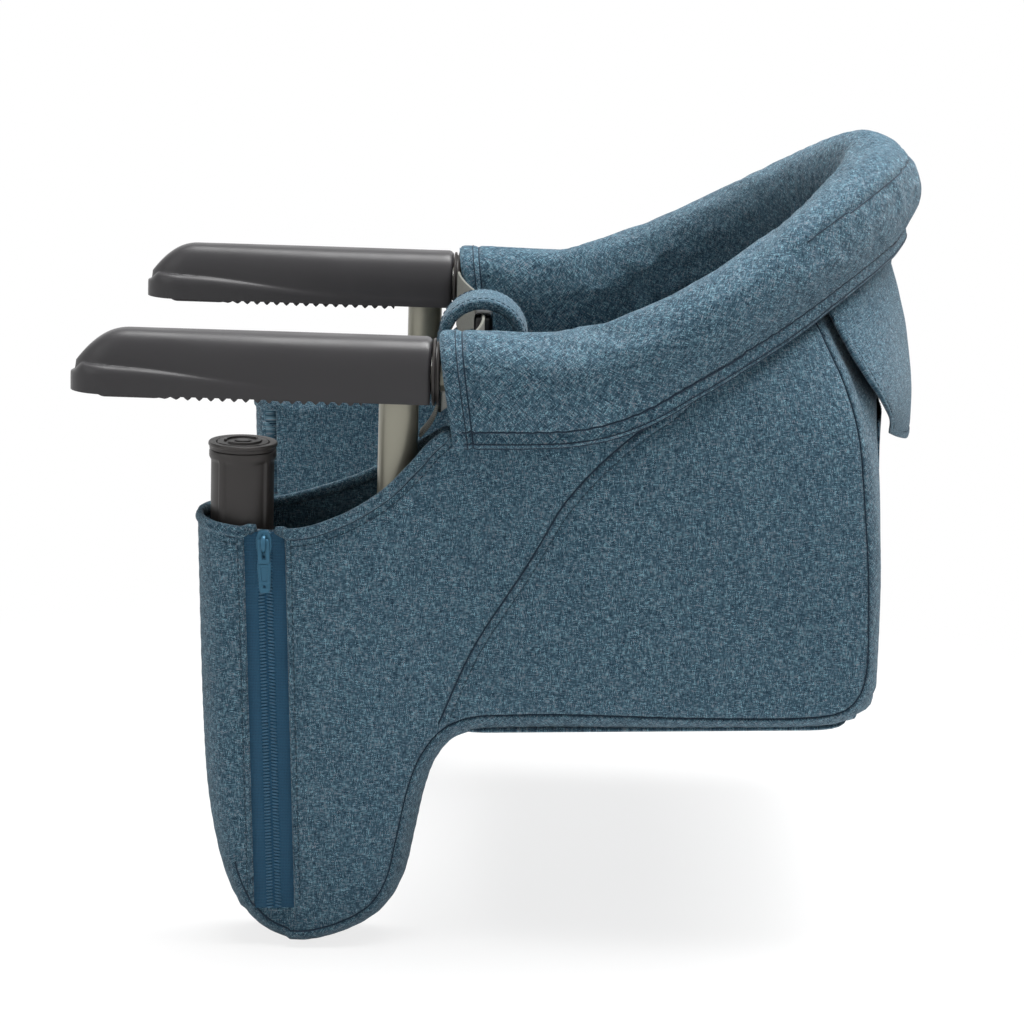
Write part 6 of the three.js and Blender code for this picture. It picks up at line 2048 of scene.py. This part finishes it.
def colour_setting(name, description, code):
    """A colour that a user may change."""
    return FloatVectorProperty(name=name, description=description, subtype="COLOR", default=srgb(code))


def length_setting(name, description, default):
    """A length that a user may change, in metres."""
    return FloatProperty(name=name, description=description, default=default, unit="LENGTH", precision=5)


class ChairCloth(bpy.types.PropertyGroup):
    """Yarn, webbing and tape of the chair's soft pieces"""

    pitch: length_setting("Thread Pitch", "Distance between neighbouring threads", 0.00052)
    yarn: colour_setting("Yarn", "Main yarn of the cloth", "385869")
    dark_yarn: colour_setting("Dark Yarn", "Dark slubs", "132737")
    pale_yarn: colour_setting("Pale Yarn", "Pale slubs", "7aa0ad")
    grey_yarn: colour_setting("Grey Yarn", "Grey slubs", "7b8089")
    webbing: colour_setting("Webbing", "Waist belts", "75766f")
    tape: colour_setting("Zip Tape", "Tape beside the coil", "22506c")
    coil: colour_setting("Zip Coil", "Teeth of the zip", "265570")
    thread: colour_setting("Thread", "Sewing thread", "28495c")


class ChairSeams(bpy.types.PropertyGroup):
    """Stitches of the visible seams"""

    pitch: length_setting("Pitch", "From stitch to stitch", 0.0032)
    length: length_setting("Length", "Length of one stitch", 0.0025)
    thickness: length_setting("Thickness", "Thickness of the thread", 0.0007)


class ChairHard(bpy.types.PropertyGroup):
    """Colours of plastic, metal and rubber"""

    arm: colour_setting("Arm", "Moulded arms", "29282a")
    clamp: colour_setting("Clamp", "Clamp grips and rings", "2b2827")
    rubber: colour_setting("Rubber", "Toothed pads", "343234")
    buckle: colour_setting("Buckle", "Buckle", "2b2a2c")
    tube: colour_setting("Tube", "Painted tube", "8f8d80")
    steel: colour_setting("Steel", "Pins and screws", "9a9a98")
    zip_metal: colour_setting("Zip Metal", "Zip sliders and tabs", "2c5a72")


class ChairStage(bpy.types.PropertyGroup):
    """Studio light"""

    key: FloatProperty(name="Key Light", description="Power of the main lamp", default=70.0,
                       unit="POWER")
    fill: FloatProperty(name="Fill", description="Strength of the light from all round", default=0.22)


# Operators


class CHAIR_OT_finishes(bpy.types.Operator):
    """Make all finishes and paint the frame's own pieces that stay in view"""

    bl_idname = "chair.finishes"
    bl_label = "Finishes and Frame"

    def execute(self, context):
        make_materials()
        kept = {"arm_base": "arm_moulding", "cover_screw_front": "pin_steel",
                "cover_screw_rear": "pin_steel", "arm_tube": "tube_paint", "arm_plug": "arm_moulding",
                "pivot_shaft": "pin_steel", "stop_pin": "pin_steel", "rail_pin": "pin_steel",
                "clamp_screw": "pin_steel", "pad_rivet": "clamp_moulding"}
        paints = {f"{side}_{node}": paint for side in SIDES for node, paint in kept.items()}
        paints["back_rail"] = "tube_paint"
        for node, paint in paints.items():
            data = frame["nodes"][node].data
            data.materials.clear()
            data.materials.append(finish_of(paint))
        return {"FINISHED"}


class CHAIR_OT_arms(bpy.types.Operator):
    """Mould both arms, bend both hooks and turn the rings behind the arms"""

    bl_idname = "chair.arms"
    bl_label = "Arms and Hooks"

    def execute(self, context):
        for side, mirror in SIDES.items():
            make_arm(side, mirror)
            make_grip(side, mirror)
            make_hook(side, mirror)
            make_belt_ring(side, mirror)
        return {"FINISHED"}


class CHAIR_OT_clamps(bpy.types.Operator):
    """Turn both clamps"""

    bl_idname = "chair.clamps"
    bl_label = "Clamps"

    def execute(self, context):
        for side, mirror in SIDES.items():
            make_clamp(side, mirror)
        return {"FINISHED"}


class CHAIR_OT_sides(bpy.types.Operator):
    """Sew both cloth sides with their hook pockets, hems and stitches"""

    bl_idname = "chair.sides"
    bl_label = "Cloth Sides"

    def execute(self, context):
        for side, mirror in SIDES.items():
            make_side(side, mirror)
            make_mouth_hem(side, mirror)
            side_stitches(side, mirror)
        return {"FINISHED"}


class CHAIR_OT_zips(bpy.types.Operator):
    """Make both zips with sliders and pulls"""

    bl_idname = "chair.zips"
    bl_label = "Zips"

    def execute(self, context):
        for side, mirror in SIDES.items():
            make_zip(side, mirror)
        return {"FINISHED"}


class CHAIR_OT_roll(bpy.types.Operator):
    """Pad the roll over the rail"""

    bl_idname = "chair.roll"
    bl_label = "Padded Roll"

    def execute(self, context):
        make_roll()
        return {"FINISHED"}


class CHAIR_OT_back(bpy.types.Operator):
    """Sew the back, its pocket and the flap"""

    bl_idname = "chair.back"
    bl_label = "Back and Pocket"

    def execute(self, context):
        make_back()
        make_flap()
        return {"FINISHED"}


class CHAIR_OT_seat(bpy.types.Operator):
    """Make the seat cushion and the cloth below it"""

    bl_idname = "chair.seat"
    bl_label = "Seat"

    def execute(self, context):
        make_seat()
        return {"FINISHED"}


class CHAIR_OT_harness(bpy.types.Operator):
    """Make crotch strap, waist belts and buckle"""

    bl_idname = "chair.harness"
    bl_label = "Harness"

    def execute(self, context):
        make_strap()
        for side, mirror in SIDES.items():
            make_belt(side, mirror, BELT_ENDS[side])
        make_buckle()
        return {"FINISHED"}


class CHAIR_OT_stage(bpy.types.Operator):
    """Set floor, light and camera"""

    bl_idname = "chair.stage"
    bl_label = "Stage"

    def execute(self, context):
        make_floor(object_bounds()[0][2])
        make_light()
        aim_camera()
        context.scene.view_settings.view_transform = "Standard"
        return {"FINISHED"}


MAKERS = (CHAIR_OT_finishes, CHAIR_OT_arms, CHAIR_OT_clamps, CHAIR_OT_sides, CHAIR_OT_zips,
          CHAIR_OT_roll, CHAIR_OT_back,
          CHAIR_OT_seat, CHAIR_OT_harness, CHAIR_OT_stage)
SETTINGS = {"chair_cloth": ChairCloth, "chair_seams": ChairSeams, "chair_hard": ChairHard,
            "chair_stage": ChairStage}


class CHAIR_PT_panel(bpy.types.Panel):
    """Settings and steps of the table chair"""

    bl_label = "Table Chair"
    bl_idname = "CHAIR_PT_panel"
    bl_space_type = "VIEW_3D"
    bl_region_type = "UI"
    bl_category = "Table Chair"

    def draw(self, context):
        for key, group in SETTINGS.items():
            box = self.layout.box()
            box.label(text=group.__doc__)
            for prop in group.__annotations__:
                box.prop(getattr(context.scene, key), prop)
        for maker in MAKERS:
            self.layout.operator(maker.bl_idname)


def register():
    """Registers settings, steps and panel."""
    for group in SETTINGS.values():
        bpy.utils.register_class(group)
    for key, group in SETTINGS.items():
        setattr(bpy.types.Scene, key, PointerProperty(type=group))
    for maker in MAKERS:
        bpy.utils.register_class(maker)
    bpy.utils.register_class(CHAIR_PT_panel)


def unregister():
    """Takes back what register did."""
    bpy.utils.unregister_class(CHAIR_PT_panel)
    for maker in reversed(MAKERS):
        bpy.utils.unregister_class(maker)
    for key, group in SETTINGS.items():
        delattr(bpy.types.Scene, key)
        bpy.utils.unregister_class(group)


def main():
    """Registers settings, steps and panel, and runs all steps."""
    register()
    for maker in MAKERS:
        group, step = maker.bl_idname.split(".")
        getattr(getattr(bpy.ops, group), step)()


if __name__ == "__main__":
    main()
